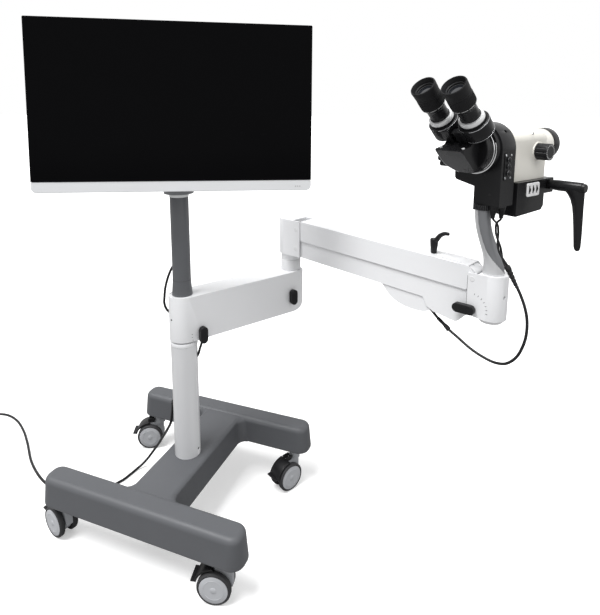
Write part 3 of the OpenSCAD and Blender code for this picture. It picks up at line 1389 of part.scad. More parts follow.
mains_route = [
  [-29, 11.7, 300, 5.5], [-40, 17, 296, 5.3], [-50, 25, 270, 3.8], [-56, 30, 245, 3.5], [-68, 39, 214, 3.5], [-92, 56, 175, 3.5],
  [-122, 76, 130, 3.5], [-156, 97, 80, 3.5], [-188, 112, 36, 3.5], [-214, 112, 10, 3.5], [-230, 95, 4, 3.5],
  [-236, 60, 4, 3.5], [-242, 20, 4, 3.5], [-265, -25, 4, 3.5], [-310, -58, 4, 3.5], [-370, -72, 4, 3.5],
  [-445, -60, 4, 3.5], [-537, -15, 4, 3.5], [-621, 46, 4, 3.5], [-690, 92, 4, 3.5], [-760, 126, 4, 3.5],
  [-825, 135, 4, 3.5], [-885, 106, 4, 3.5], [-912, 45, 4, 3.5], [-892, -20, 4, 3.5], [-835, -58, 4, 3.5],
  [-770, -88, 4, 3.5], [-738, -145, 4, 3.5], [-760, -205, 4, 3.5], [-818, -234, 5, 3.5], [-862, -236, 9, 4.2], [-900, -232, 15, 6]];
module head_cable() {
  color([0.03, 0.03, 0.03]) cord(cable_route, 3);
}
module head_leads() {
  color([0.03, 0.03, 0.03]) union() {
    tube([for (q = spline(lead_a_route, 4)) q * mm], lead_r, 8);
    tube([for (q = spline(lead_b_route, 4)) q * mm], lead_r, 8);
    translate(lead_end * mm) rotate([0, -20, 150]) cylinder(h = lead_r * 2, r = lead_r * 2.6, $fn = low);
  }
}
module pole_cord() {
  color([0.03, 0.03, 0.03]) tube([for (q = spline(pole_route, 4)) q * mm], pole_cord_r, 8);
}
module arm_cord() {
  color([0.03, 0.03, 0.03]) tube([for (q = spline(arm_route, 3)) q * mm], pole_cord_r, 8);
}
module mains_lead() {
  color([0.05, 0.05, 0.05]) cord(mains_route, 2);
}
module mains_plug() {
  e = mains_route[len(mains_route) - 1] * mm;
  color([0.06, 0.06, 0.06]) translate([e[0], e[1], plug_r + 1.2 * mm]) rotate([0, 0, 174]) union() {
    translate([-mains_r, 0, 0]) bar_x(0, plug_l * 0.6, plug_r * 0.62, mid);
    bar_x(plug_l * s_half, plug_l, plug_r, mid);
    for (k = [-1, 1]) translate([0, k * plug_r * 0.62, 0]) bar_x(plug_l - play, plug_l * 1.45, plug_r * 0.17, low);
  }
}
put() foot_shell();
put() foot_frame();
put() castor_body(1);  // castor_body_1
put() castor_body(2);  // castor_body_2
put() castor_body(3);  // castor_body_3
put() castor_body(4);  // castor_body_4
put() castor_pedal(1);  // castor_pedal_1
put() castor_pedal(2);  // castor_pedal_2
put() castor_pedal(3);  // castor_pedal_3
put() castor_pedal(4);  // castor_pedal_4
put() castor_wheels(1);  // castor_wheels_1
put() castor_wheels(2);  // castor_wheels_2
put() castor_wheels(3);  // castor_wheels_3
put() castor_wheels(4);  // castor_wheels_4
put() column();
put() spindle();
put() pole();
put() pole_collar();
put() monitor_bracket();
put() monitor_shell();
put() monitor_glass();
put() monitor_chin();
put() extension_arm();
put() knob_a();
put() knob_b();
put() elbow_foot();
put() elbow_block();
put() upper_link();
put() lower_link();
put() gas_spring();
put() small_lever();
put() end_hub();
put() tension_knob();
put() swivel_post();
put() head_housing();
put() chrome_ring();
put() button_panel();
put() push_button(-1);  // button_1
put() push_button(0);  // button_2
put() push_button(1);  // button_3
put() wedge();
put() eye_tube(-1);  // eye_tube_left
put() eye_tube(1);  // eye_tube_right
put() focus_ring(-1);  // focus_ring_left
put() focus_ring(1);  // focus_ring_right
put() zoom_pod();
put() zoom_knob();
put() objective_ring();
put() lamp_box();
put() dial_plate();
put() thumb_wheels();
put() lobed_knob();
put() clamp_handle();
put() head_connectors();
put() head_cable();
put() head_leads();
put() pole_cord();
put() arm_cord();
put() mains_lead();
put() mains_plug();
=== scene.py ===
# Looks of the colposcope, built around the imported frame. Lengths inside the helpers are millimetres.
import itertools
import math
import bmesh
import bpy
from mathutils import Matrix, Vector


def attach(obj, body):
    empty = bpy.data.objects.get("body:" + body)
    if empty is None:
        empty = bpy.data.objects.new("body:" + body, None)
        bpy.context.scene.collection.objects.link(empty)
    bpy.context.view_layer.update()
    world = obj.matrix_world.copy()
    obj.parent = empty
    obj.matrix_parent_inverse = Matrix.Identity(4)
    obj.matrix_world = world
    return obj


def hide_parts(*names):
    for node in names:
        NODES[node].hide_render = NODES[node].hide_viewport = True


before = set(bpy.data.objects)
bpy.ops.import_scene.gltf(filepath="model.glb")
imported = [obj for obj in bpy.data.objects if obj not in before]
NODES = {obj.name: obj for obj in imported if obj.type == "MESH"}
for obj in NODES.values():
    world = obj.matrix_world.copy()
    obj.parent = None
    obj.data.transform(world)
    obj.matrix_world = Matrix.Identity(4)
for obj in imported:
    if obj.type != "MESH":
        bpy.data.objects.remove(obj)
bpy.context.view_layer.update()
DEG = math.pi / 180

# Sizes and angles that several pieces share, measured from the column's axis on the floor. A castor is
# given by its place and heading, a knob by its place on the near face of the extension arm.
PLAN_X = 277.977
PLAN_Y = 50.273
EXTENSION_HEADING = 59.15
ARM_HEADING = -20.32
ELBOW_X = 334.3
PIN_X = 44
PIN_Z = 721.4
PIN_GAP = 53
LINK_SLOPE = 2.9
LINK_L = 491
HUB_FACE = 31
DIAL_Z = -65
LEAN_X = 30 * math.cos(200 * DEG)
LEAN_Y = 30 * math.sin(200 * DEG)
BARREL_X = -12
BARREL_Z = 112
COLUMN_R = 32.5
WHEEL_R = 38
TRAIL = 30
CASTORS = [(214, -180, 193), (214, 206, 242.4), (-234, -180, 164.2), (-234, 206, 205)]
KNOBS = {"knob_a": (31.8, 498.8), "knob_b": (311, 530.5)}


def shift(x, y, z):
    return Matrix.Translation((x, y, z))


def turn(angle, axis):
    return Matrix.Rotation(angle * DEG, 4, axis)


# Spaces in which pieces are drawn. ROW takes millimetres from the column's axis to the frame's metres.
PLAIN = Matrix.Identity(4)
ROW = Matrix.Scale(0.001, 4) @ shift(-PLAN_X, -PLAN_Y, 0)
EXTENSION = turn(EXTENSION_HEADING, "Z")
ELBOW = EXTENSION @ shift(ELBOW_X, 0, 0)
ARM = ELBOW @ turn(ARM_HEADING - EXTENSION_HEADING, "Z")
UPPER = ARM @ shift(PIN_X, 0, PIN_Z) @ turn(LINK_SLOPE, "Y")
LOWER = ARM @ shift(PIN_X, 0, PIN_Z - PIN_GAP) @ turn(LINK_SLOPE, "Y")
HUB = ARM @ shift(534.37, 0, 696.56)
POST = ARM @ shift(566.37, 0, 708.96) @ turn(-ARM_HEADING, "Z")
HEAD = POST @ shift(LEAN_X, LEAN_Y, 146) @ turn(-32, "Z")
BARREL = HEAD @ shift(BARREL_X, 0, BARREL_Z)
EYES = HEAD @ shift(-22, -30, 112) @ turn(45, "X")
HINGE = EYES @ shift(0, -5, 0)
PANEL = turn(30, "Z") @ shift(2, -70.5, 1059.6) @ turn(-2.5, "X") @ turn(0.7, "Y")


# camera
def make_camera():
    data = bpy.data.cameras.new("camera")
    data.lens = 30.73
    data.sensor_width = 36
    data.shift_x = 0.0146
    data.shift_y = -0.191
    data.clip_end = 60
    camera = bpy.data.objects.new("camera", data)
    bpy.context.scene.collection.objects.link(camera)
    right = Vector((0.9304, 0.3667, 0)).normalized()
    ahead = Vector((-0.3617, 0.9178, -0.1635)).normalized()
    up = right.cross(ahead).normalized()
    ahead = up.cross(right)
    rows = [[right[i], up[i], -ahead[i], 0] for i in range(3)] + [[0, 0, 0, 1]]
    eye = ROW @ Vector((695.3, -1040.8, 1057.8))
    camera.matrix_world = Matrix.Translation(eye) @ Matrix(rows)
    bpy.context.scene.camera = camera


make_camera()


# materials
CLOUD_SCALE = 14.0


def material(name, colour, rough, *, vary, metal=0.0, spec=0.5, coat=0.0, grain=0.0,
             grain_scale=900.0, brushed=None):
    """A finish with faint clouds in its colour and gloss, and a fine grain if it has any."""
    m = bpy.data.materials.new(name)
    m.use_nodes = True
    tree = m.node_tree
    tree.nodes.clear()
    new = tree.nodes.new
    link = tree.links.new
    out = new("ShaderNodeOutputMaterial")
    skin = new("ShaderNodeBsdfPrincipled")
    link(skin.outputs["BSDF"], out.inputs["Surface"])
    skin.inputs["Metallic"].default_value = metal
    skin.inputs["Specular IOR Level"].default_value = spec
    skin.inputs["Coat Weight"].default_value = coat
    skin.inputs["Coat Roughness"].default_value = 0.08
    place = new("ShaderNodeTexCoord")
    cloud = new("ShaderNodeTexNoise")
    cloud.inputs["Scale"].default_value = CLOUD_SCALE
    cloud.inputs["Detail"].default_value = 6
    link(place.outputs["Object"], cloud.inputs["Vector"])
    mix = new("ShaderNodeMix")
    mix.data_type = "RGBA"
    dark = [c * (1 - vary) for c in colour]
    light = [min(1, c * (1 + vary)) for c in colour]
    mix.inputs[6].default_value = (*dark, 1)
    mix.inputs[7].default_value = (*light, 1)
    link(cloud.outputs["Fac"], mix.inputs[0])
    link(mix.outputs[2], skin.inputs["Base Color"])
    level = new("ShaderNodeMapRange")
    level.inputs["To Min"].default_value = max(0.02, rough * 0.85)
    level.inputs["To Max"].default_value = min(1, rough * 1.15)
    smear = new("ShaderNodeTexNoise")
    smear.inputs["Scale"].default_value = CLOUD_SCALE * 3
    smear.inputs["Detail"].default_value = 4
    link(place.outputs["Object"], smear.inputs["Vector"])
    link(smear.outputs["Fac"], level.inputs["Value"])
    link(level.outputs["Result"], skin.inputs["Roughness"])
    if grain > 0:
        fine = new("ShaderNodeTexNoise")
        fine.inputs["Scale"].default_value = grain_scale
        fine.inputs["Detail"].default_value = 3
        along = place.outputs["Object"]
        if brushed:
            stretch = new("ShaderNodeMapping")
            stretch.inputs["Scale"].default_value = brushed
            link(along, stretch.inputs["Vector"])
            along = stretch.outputs["Vector"]
        link(along, fine.inputs["Vector"])
        bump = new("ShaderNodeBump")
        bump.inputs["Strength"].default_value = grain
        bump.inputs["Distance"].default_value = 0.0003
        link(fine.outputs["Fac"], bump.inputs["Height"])
        link(bump.outputs["Normal"], skin.inputs["Normal"])
    return m


WHITE = material("white_paint", (0.80, 0.805, 0.82), 0.3, spec=0.4, coat=0.25, vary=0.015,
                 grain=0.04, grain_scale=500)
PALE = material("pale_cast", (0.74, 0.745, 0.755), 0.35, spec=0.4, vary=0.02, grain=0.05, grain_scale=600)
CREAM = material("pod_cream", (0.78, 0.76, 0.70), 0.32, spec=0.45, coat=0.2, vary=0.02, grain=0.03)
FOOT = material("foot_grey", (0.082, 0.085, 0.092), 0.5, spec=0.35, vary=0.06, grain=0.25,
                grain_scale=1400)
POLE = material("pole_grey", (0.1, 0.104, 0.112), 0.38, spec=0.45, vary=0.05, grain=0.08, grain_scale=700)
POSTG = material("post_grey", (0.2, 0.205, 0.215), 0.34, metal=0.2, spec=0.5, vary=0.06, grain=0.1,
                 grain_scale=700)
# A paler copy of the post grey, used as a painted highlight on the side of the post that faces the key light.
POST_PAINTED_LIGHT = material("post_painted_light", (0.55, 0.555, 0.565), 0.34, metal=0.15, spec=0.5, vary=0.05,
                 grain=0.1, grain_scale=700)
SILVER = material("silver_satin", (0.78, 0.785, 0.79), 0.3, metal=0.25, vary=0.02, grain=0.02,
                  brushed=(1, 1, 30))
CHIN = material("chin_silver", (0.76, 0.77, 0.785), 0.3, metal=0.15, spec=0.45, vary=0.02, grain=0.05)
BACK = material("monitor_back", (0.3, 0.305, 0.315), 0.45, spec=0.4, vary=0.04, grain=0.2,
                grain_scale=1100)
BLACK = material("black_moulding", (0.011, 0.011, 0.012), 0.34, spec=0.2, vary=0.2, grain=0.12,
                 grain_scale=1100)
HEADB = material("head_black", (0.011, 0.011, 0.012), 0.26, spec=0.2, vary=0.2, grain=0.1,
                 grain_scale=1300)
RUBBER = material("black_rubber", (0.011, 0.011, 0.012), 0.55, spec=0.18, vary=0.25, grain=0.3,
                  grain_scale=1500)
CABLE = material("cable_black", (0.01, 0.01, 0.011), 0.42, spec=0.25, vary=0.2, grain=0.15,
                 grain_scale=900)
SCREEN = material("screen_black", (0.0022, 0.0022, 0.0026), 0.12, spec=0.03, vary=0.1)
CHROME = material("chrome", (0.78, 0.78, 0.79), 0.1, metal=1.0, vary=0.02)
STEEL = material("steel", (0.5, 0.505, 0.52), 0.3, metal=0.9, vary=0.05, grain=0.1, brushed=(1, 1, 40))
DISC = material("castor_disc", (0.42, 0.43, 0.45), 0.45, spec=0.35, vary=0.05, grain=0.12)
CASTOR = material("castor_grey", (0.36, 0.37, 0.39), 0.5, spec=0.3, vary=0.06, grain=0.15)
TREAD = material("castor_tread", (0.03, 0.03, 0.032), 0.6, spec=0.25, vary=0.15, grain=0.25)
BRACKET = material("bracket_dark", (0.05, 0.05, 0.055), 0.5, spec=0.3, vary=0.08, grain=0.15)
PLATE = material("plate_white", (0.82, 0.82, 0.83), 0.35, spec=0.4, vary=0.015, grain=0.03)
MARK = material("mark_dark", (0.06, 0.06, 0.065), 0.5, spec=0.2, vary=0.05)
INK = material("mark_pale", (0.7, 0.7, 0.7), 0.5, spec=0.2, vary=0.05)
SEAM = material("seam_shadow", (0.1, 0.1, 0.105), 0.7, spec=0.1, vary=0.05)


def glass(name):
    """Coated lens glass, nearly black."""
    m = bpy.data.materials.new(name)
    m.use_nodes = True
    tree = m.node_tree
    new = tree.nodes.new
    link = tree.links.new
    skin = tree.nodes["Principled BSDF"]
    skin.inputs["Metallic"].default_value = 0.0
    skin.inputs["Coat Weight"].default_value = 0.6
    skin.inputs["Coat Roughness"].default_value = 0.03
    place = new("ShaderNodeTexCoord")
    cloud = new("ShaderNodeTexNoise")
    cloud.inputs["Scale"].default_value = 40
    ramp = new("ShaderNodeMix")
    ramp.data_type = "RGBA"
    ramp.inputs[6].default_value = (0.006, 0.007, 0.009, 1)
    ramp.inputs[7].default_value = (0.013, 0.014, 0.018, 1)
    link(place.outputs["Object"], cloud.inputs["Vector"])
    link(cloud.outputs["Fac"], ramp.inputs[0])
    link(ramp.outputs[2], skin.inputs["Base Color"])
    skin.inputs["Roughness"].default_value = 0.06
    return m


LENS = glass("lens_glass")


# mesh helpers
BIG_FACE = 2e-5


def put(name, bm, mats, body, sharp=38, merge=True):
    """Makes the named piece. A big face is shaded flat unless it bends gently into a large neighbour."""
    if merge:
        bmesh.ops.remove_doubles(bm, verts=bm.verts, dist=1e-6)
    bmesh.ops.recalc_face_normals(bm, faces=bm.faces)
    flat = []
    for f in bm.faces:
        area = f.calc_area()
        near = False
        for e in f.edges:
            for g in e.link_faces:
                bend = f.normal.angle(g.normal, 0)
                if g is not f and g.calc_area() > 0.2 * area and 0.004 < bend < sharp * DEG:
                    near = True
        flat.append(area > BIG_FACE and not near)
    me = bpy.data.meshes.new(name)
    bm.to_mesh(me)
    bm.free()
    for m in mats:
        me.materials.append(m)
    me.shade_smooth()
    me.set_sharp_from_angle(angle=sharp * DEG)
    for f, is_flat in zip(me.polygons, flat):
        if is_flat:
            f.use_smooth = False
    ob = bpy.data.objects.new(name, me)
    bpy.context.scene.collection.objects.link(ob)
    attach(ob, body)
    return ob


def sharp_edges(bm, limit, only=None):
    """Edges where two faces bend by more than the limit in degrees."""
    out = []
    for e in bm.edges:
        if len(e.link_faces) == 2 and e.calc_face_angle(0) > limit * DEG:
            if only is None or only(e):
                out.append(e)
    return out


def round_edges(bm, edges, size, steps):
    """Rounds the edges over a width in millimetres."""
    bmesh.ops.bevel(bm, geom=edges, offset=size * 0.001, offset_type="OFFSET", segments=steps,
                    profile=0.5, affect="EDGES", clamp_overlap=True)


def dress(node, mats, body, bevel, steps=3, pick=None, limit=40, only=None):
    """A copy of a CAD node with rounded edges and its own finishes, which stands for the node."""
    bm = bmesh.new()
    bm.from_mesh(NODES[node].data)
    bmesh.ops.remove_doubles(bm, verts=bm.verts, dist=3e-6)
    bmesh.ops.dissolve_limit(bm, angle_limit=0.7 * DEG, verts=bm.verts, edges=bm.edges)
    round_edges(bm, sharp_edges(bm, limit, only), bevel, steps)
    if pick:
        for f in bm.faces:
            f.material_index = pick(f)
    ob = put(node + "_skin", bm, mats, body, merge=False)
    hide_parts(node)


def local(space):
    """Gives a function that takes a point of the frame to the space, in millimetres."""
    back = (ROW @ space).inverted()
    return lambda p: back @ p


def lathe(bm, rings, space, seg, mat=0, closed=False, a0=0.0, a1=360.0):
    """Turns the (radius, height) rings about the space's Z axis, from one angle to another."""
    m = ROW @ space
    full = a1 - a0 >= 359.9
    n = seg if full else seg + 1
    rows = []
    for r, z in rings:
        if r < 1e-6:
            rows.append([bm.verts.new(m @ Vector((0, 0, z)))])
        else:
            row = []
            for k in range(n):
                a = (a0 + (a1 - a0) * k / seg) * DEG
                row.append(bm.verts.new(m @ Vector((r * math.cos(a), r * math.sin(a), z))))
            rows.append(row)
    if closed:
        rows.append(rows[0])
    for p, q in zip(rows, rows[1:]):
        for k in range(seg):
            j = (k + 1) % n
            if len(p) == 1:
                f = bm.faces.new((p[0], q[k], q[j]))
            elif len(q) == 1:
                f = bm.faces.new((p[k], q[0], p[j]))
            else:
                f = bm.faces.new((p[k], q[k], q[j], p[j]))
            f.material_index = mat


def block(bm, low, high, space, bevel=0.0, steps=2):
    m = ROW @ space
    v = [bm.verts.new(m @ Vector(p)) for p in itertools.product(*zip(low, high))]
    quads = [(0, 1, 3, 2), (4, 6, 7, 5), (0, 4, 5, 1), (2, 3, 7, 6), (0, 2, 6, 4), (1, 5, 7, 3)]
    new = [bm.faces.new([v[i] for i in q]) for q in quads]
    if bevel > 0:
        round_edges(bm, list({e for f in new for e in f.edges}), bevel, steps)


def wrap(bm, rows):
    """Closes rings of equal vertex counts into a skin with a cap on each end, and gives back the caps."""
    for p, q in zip(rows, rows[1:]):
        for k in range(len(p)):
            j = (k + 1) % len(p)
            bm.faces.new((p[k], p[j], q[j], q[k]))
    return bm.faces.new(list(reversed(rows[0]))), bm.faces.new(rows[-1])


def plate(bm, outline, low, high, space, bevel=0.0, steps=2):
    """Draws a closed outline in the space's XY plane out along its Z axis."""
    caps = levels(bm, [(outline, low), (outline, high)], space)
    if bevel > 0:
        round_edges(bm, list({e for f in caps for e in f.edges}), bevel, steps)


def levels(bm, outlines, space):
    """A closed skin through outlines with equal point counts, each with its height."""
    m = ROW @ space
    return wrap(bm, [[bm.verts.new(m @ Vector((x, y, z))) for x, y in outline] for outline, z in outlines])


def arc(x, y, r, start, end, step):
    """Points of an arc in steps of so many degrees, both ends included."""
    return [(x + r * math.cos(a * DEG), y + r * math.sin(a * DEG)) for a in range(start, end + 1, step)]


def circle(seg):
    return [(math.cos(2 * math.pi * k / seg), math.sin(2 * math.pi * k / seg)) for k in range(seg)]


def stadium(length, width, seg=12):
    r = width / 2
    s = length / 2 - r
    out = []
    for side, mid in ((0, s), (1, -s)):
        for k in range(seg + 1):
            a = (-90 + 180 * k / seg + 180 * side) * DEG
            out.append((mid + r * math.cos(a), r * math.sin(a)))
    return out


def rounded(w, h, r, seg):
    out = []
    for q, (sx, sy) in enumerate(((1, 1), (-1, 1), (-1, -1), (1, -1))):
        for k in range(seg + 1):
            a = (90 * q + 90 * k / seg) * DEG
            out.append((sx * (w / 2 - r) + r * math.cos(a), sy * (h / 2 - r) + r * math.sin(a)))
    return out


def curve(points, steps):
    """A smooth line through the points, with the given steps between each two."""
    out = []
    k = len(points)
    for i in range(k - 1):
        a = Vector(points[max(i - 1, 0)])
        b = Vector(points[i])
        c = Vector(points[i + 1])
        d = Vector(points[min(i + 2, k - 1)])
        for j in range(steps):
            t = j / steps
            square = (2 * a - 5 * b + 4 * c - d) * (t * t / 2)
            cube = (3 * b - a - 3 * c + d) * (t ** 3 / 2)
            out.append(b + (c - a) * (t / 2) + square + cube)
    out.append(Vector(points[-1]))
    return out


def smooth(outline, steps):
    return [(p.x, p.y) for p in curve([(x, y, 0) for x, y in outline], steps)]


def sweep(bm, path, radius, space, seg):
    """A closed tube along the path; the radius is a number or one for each point."""
    m = ROW @ space
    pts = [Vector(p) for p in path]
    n = len(pts)
    rad = radius if isinstance(radius, (list, tuple)) else [radius] * n
    t0 = (pts[1] - pts[0]).normalized()
    side = Vector((1, 0, 0)) if abs(t0.z) > 0.8 else Vector((0, 0, 1))
    rows = []
    for i, p in enumerate(pts):
        t = (pts[min(i + 1, n - 1)] - pts[max(i - 1, 0)]).normalized()
        side = (side - t * side.dot(t)).normalized()
        other = t.cross(side)
        ring = [p + side * (rad[i] * c) + other * (rad[i] * s) for c, s in circle(seg)]
        rows.append([bm.verts.new(m @ v) for v in ring])
    wrap(bm, rows)


def loft(bm, rings, space):
    """A closed skin through level ovals, each a middle x, a height and two half widths."""
    levels(bm, [([(x + rx * c, ry * s) for c, s in circle(32)], z) for x, z, rx, ry in rings], space)


def carve(bm, steps):
    """Joins, cuts or meets the mesh with others in turn and gives back the new mesh."""
    def solid(mesh):
        bmesh.ops.recalc_face_normals(mesh, faces=mesh.faces)
        me = bpy.data.meshes.new("tool")
        mesh.to_mesh(me)
        mesh.free()
        ob = bpy.data.objects.new("tool", me)
        bpy.context.scene.collection.objects.link(ob)
        return ob

    body = solid(bm)
    tools = []
    for way, mesh in steps:
        tool = solid(mesh)
        mod = body.modifiers.new("carve", "BOOLEAN")
        mod.operation = way
        mod.solver = "EXACT"
        mod.object = tool
        tools.append(tool)
    view = bpy.context.evaluated_depsgraph_get()
    done = body.evaluated_get(view)
    out = bmesh.new()
    out.from_mesh(done.to_mesh())
    done.to_mesh_clear()
    for ob in (*tools, body):
        me = ob.data
        bpy.data.objects.remove(ob)
        bpy.data.meshes.remove(me)
    return out


def turned(rings, space, seg):
    """A new mesh that holds one turned form."""
    bm = bmesh.new()
    lathe(bm, rings, space, seg)
    return bm


def length_of(path):
    return sum((b - a).length for a, b in zip(path, path[1:])) * 0.001


# cords
CORD_STEPS = 8
MAINS_R = 3.5
CABLE_R = 3
LEAD_R = 2.2
PLUG_SPOT = (-900, -232, 15)
MAINS_ROUTE = [
    (-29, 11.7, 300), (-42, 18, 298.2), (-53.6, 24, 290.3), (-60.5, 28.4, 277.6), (-64.5, 31.8, 261),
    (-70.5, 36.4, 239), (-80, 43, 209), (-106, 60, 169), (-137, 80, 126), (-170, 99, 80), (-192, 105, 50),
    (-208, 103, 27), (-220, 93, 12), (-228, 76, 5.5), (-232, 54, 4), (-239, 20, 4), (-265, -25, 4),
    (-310, -58, 4), (-370, -72, 4), (-445, -60, 4), (-537, -15, 4), (-621, 46, 4), (-690, 92, 4),
    (-760, 126, 4), (-825, 135, 4), (-885, 106, 4), (-912, 45, 4), (-892, -20, 4), (-835, -58, 4),
    (-770, -88, 4), (-738, -145, 4), (-760, -205, 4), (-818, -234, 5), (-862, -236, 9), PLUG_SPOT]
CABLE_ROUTE = [
    (568, 141, 598), (578, 135, 590), (590, 128, 580), (594, 126, 577), (613, 115, 565), (618, 112, 561),
    (638, 101, 551), (667, 84, 537), (695, 69, 529), (718, 56, 528), (738, 45, 536), (755, 35, 558),
    (765, 29, 587), (769, 27, 614), (768, 28, 642), (762, 31, 667), (752, 36, 691), (743, 41, 707),
    (737, 45, 718), (729, 49, 733), (726, 51, 738)]
LEAD_MIDDLE = [(702.3, 68.5, 828.6), (702.6, 68, 822), (704, 65.5, 802), (708, 61.5, 780),
               (715, 57, 757), (726, 51.3, 737)]
POLE_ROUTE = [(-24, 8.7, 668), (-27.5, 0, 661), (-32, -10, 642), (-38, -15, 615), (-41, -16.3, 590),
              (-42, -16.5, 575), (-38, -15, 560), (-30.6, -12.3, 551)]
ARM_ROUTE = [(41, 17, 484.2), (41, 17, 478), (39.5, 16, 468), (36, 14.5, 456), (33, 13, 444),
             (29.2, 11.6, 436)]
LEAD_GAP = 2.45
LEAD_SPREAD = 6.05
LEAD_TWIST = 600
GROOVE = 0.7


def twisted(side):
    """One of the two head leads, which leave their connectors apart and then wind round each other."""
    middle = curve(LEAD_MIDDLE, 4)
    out = []
    for k, p in enumerate(middle):
        t = k / (len(middle) - 1)
        gap = LEAD_GAP + LEAD_SPREAD * max(0, 1 - t / 0.35)
        a = (24 + LEAD_TWIST * max(0, t - 0.12)) * DEG
        out.append((p.x + side * gap * math.cos(a), p.y + side * gap * math.sin(a), p.z))
    return out


def relief(name, path, start, end, r_start, r_end, body, ribs):
    """A ribbed boot from one point of a path to another."""
    part = path[start:end + 1]
    n = 60
    dense = []
    rad = []
    total = length_of(part) * 1000
    for k in range(n + 1):
        s = total * k / n
        for a, b in zip(part, part[1:]):
            step = (b - a).length
            if s <= step + 1e-9:
                dense.append(a + (b - a) * min(1, s / step))
                break
            s -= step
        else:
            dense.append(part[-1].copy())
        t = k / n
        base = r_start + (r_end - r_start) * t
        groove = 0.5 - 0.5 * math.cos(2 * math.pi * ribs * t)
        rad.append(base - GROOVE * (groove > 0.75) * (0.04 < t < 0.96))
    bm = bmesh.new()
    sweep(bm, dense, rad, PLAIN, 20)
    return put(name, bm, [RUBBER], body, sharp=50)


def make_cord(name, route, radius, body, node=None):
    path = curve(route, CORD_STEPS)
    bm = bmesh.new()
    sweep(bm, path, radius, PLAIN, 16)
    ob = put(name, bm, [CABLE], body, sharp=60)
    if node:
        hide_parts(node)


def mains_plug():
    bm = bmesh.new()
    x, y, z = PLUG_SPOT
    space = shift(x, y, z + 0.2) @ turn(174, "Z") @ turn(90, "Y")
    lathe(bm, [(0, -6), (4.4, -6), (5.2, -2), (5.6, 2), (8.4, 6), (8.7, 18), (13, 21), (13.9, 23),
               (13.9, 36.5), (13, 38), (0, 38)], space, 48)
    for k in (-1, 1):
        blade = space @ shift(0, k * 8.7, 0)
        lathe(bm, [(0, 37.9), (2.3, 37.9), (2.3, 53), (1.6, 55), (0, 55)], blade, 20, mat=1)
    for k in range(5):
        lathe(bm, [(8.2, 8 + 2 * k), (9.0, 8.6 + 2 * k), (8.2, 9.2 + 2 * k)], space, 48)
    plug = put("plug", bm, [BLACK, STEEL], "base")
    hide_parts("mains_plug")
    return plug


def make_cords():
    mains = curve(MAINS_ROUTE, CORD_STEPS)
    last = len(mains) - 1
    boot = relief("mains_boot", mains, 0, 24, 5.6, 4.2, "base", 5)
    plug = mains_plug()
    tail = relief("plug_boot", mains, last - 13, last, 3.9, 5.6, "base", 4)
    make_cord("mains_cord", MAINS_ROUTE, MAINS_R, "base", "mains_lead")
    cable = curve(CABLE_ROUTE, CORD_STEPS)
    low = relief("cable_boot_low", cable, 20, 40, 3.6, 5.5, "lower", 1)
    top = relief("cable_boot_top", cable, 132, 158, 3.6, 6.3, "lower", 6)
    lean = Vector((-3, 2, 5)).to_track_quat("Z", "Y").to_matrix().to_4x4()
    cap = turned([(0, -4), (6.3, -4), (6.3, 2), (5, 5), (0, 5.5)], shift(728, 49.5, 734.5) @ lean, 32)
    cap = put("cable_cap", cap, [RUBBER], "lower")
    make_cord("head_cord", CABLE_ROUTE, CABLE_R, "lower", "head_cable")
    make_cord("lead_a", twisted(-1), LEAD_R, "lower", "head_leads")
    make_cord("lead_b", twisted(1), LEAD_R, "lower")
    make_cord("pole_cord_skin", POLE_ROUTE, CABLE_R, "extension", "pole_cord")
    make_cord("arm_cord_skin", ARM_ROUTE, CABLE_R, "base", "arm_cord")


make_cords()


# foot and castors
BAR_X = -10
BAR_L = 536
BAR_W = 70
BAR_CORNER = 30
BAR_LEAN = 6
NEAR_Y = -185.5
FAR_Y = 211.6
FOOT_LOW = 107
FOOT_TOP = 177
BRIDGE_TOP = 173.5
BRIDGE_HALF = 62
BRIDGE_LEAN = 5.4
CAVITY_LOW = 90
CAVITY_TOP = 165


def bar_skin(y):
    """One bar of the foot with round ends, leaning sides and a soft top edge."""
    soft = 13
    shelves = [(107, 2.2), (107.6, 1.1), (109, 0.3), (111, 0.2)]
    for k in range(9):
        a = 90 * DEG * k / 8
        z = FOOT_TOP - soft + soft * math.sin(a)
        lean = BAR_LEAN * (min(z, FOOT_TOP - soft / 2) - FOOT_LOW) / (FOOT_TOP - FOOT_LOW)
        shelves.append((z, lean + soft * (1 - math.cos(a))))
    outlines = []
    for z, inset in shelves:
        r = max(BAR_CORNER - inset, 12)
        outlines.append((rounded(BAR_L - 2 * inset, BAR_W - 2 * inset, r, 10), z))
    bm = bmesh.new()
    levels(bm, outlines, shift(BAR_X, y, 0))
    return bm


def foot_fillet(sx, sy, y):
    """The hollow corner where a bar meets the bridge; its sides lean as the bridge's do."""
    r = 25
    corner = [(-6, -6), (-6, r)]
    corner += [(r - r * math.cos(a * DEG), r - r * math.sin(a * DEG)) for a in range(9, 82, 9)] + [(r, -6)]
    rings = []
    for z, inset in ((107.3, 0.2), (162.3, 5.3), (165.2, 5.8), (168.3, 7.4), (170.9, 10), (172.6, 13),
                     (173.3, 15.6)):
        rings.append(([(sx * (BRIDGE_HALF - inset + a), y - sy * (inset - b)) for a, b in corner], z))
    bm = bmesh.new()
    levels(bm, rings, PLAIN)
    return bm


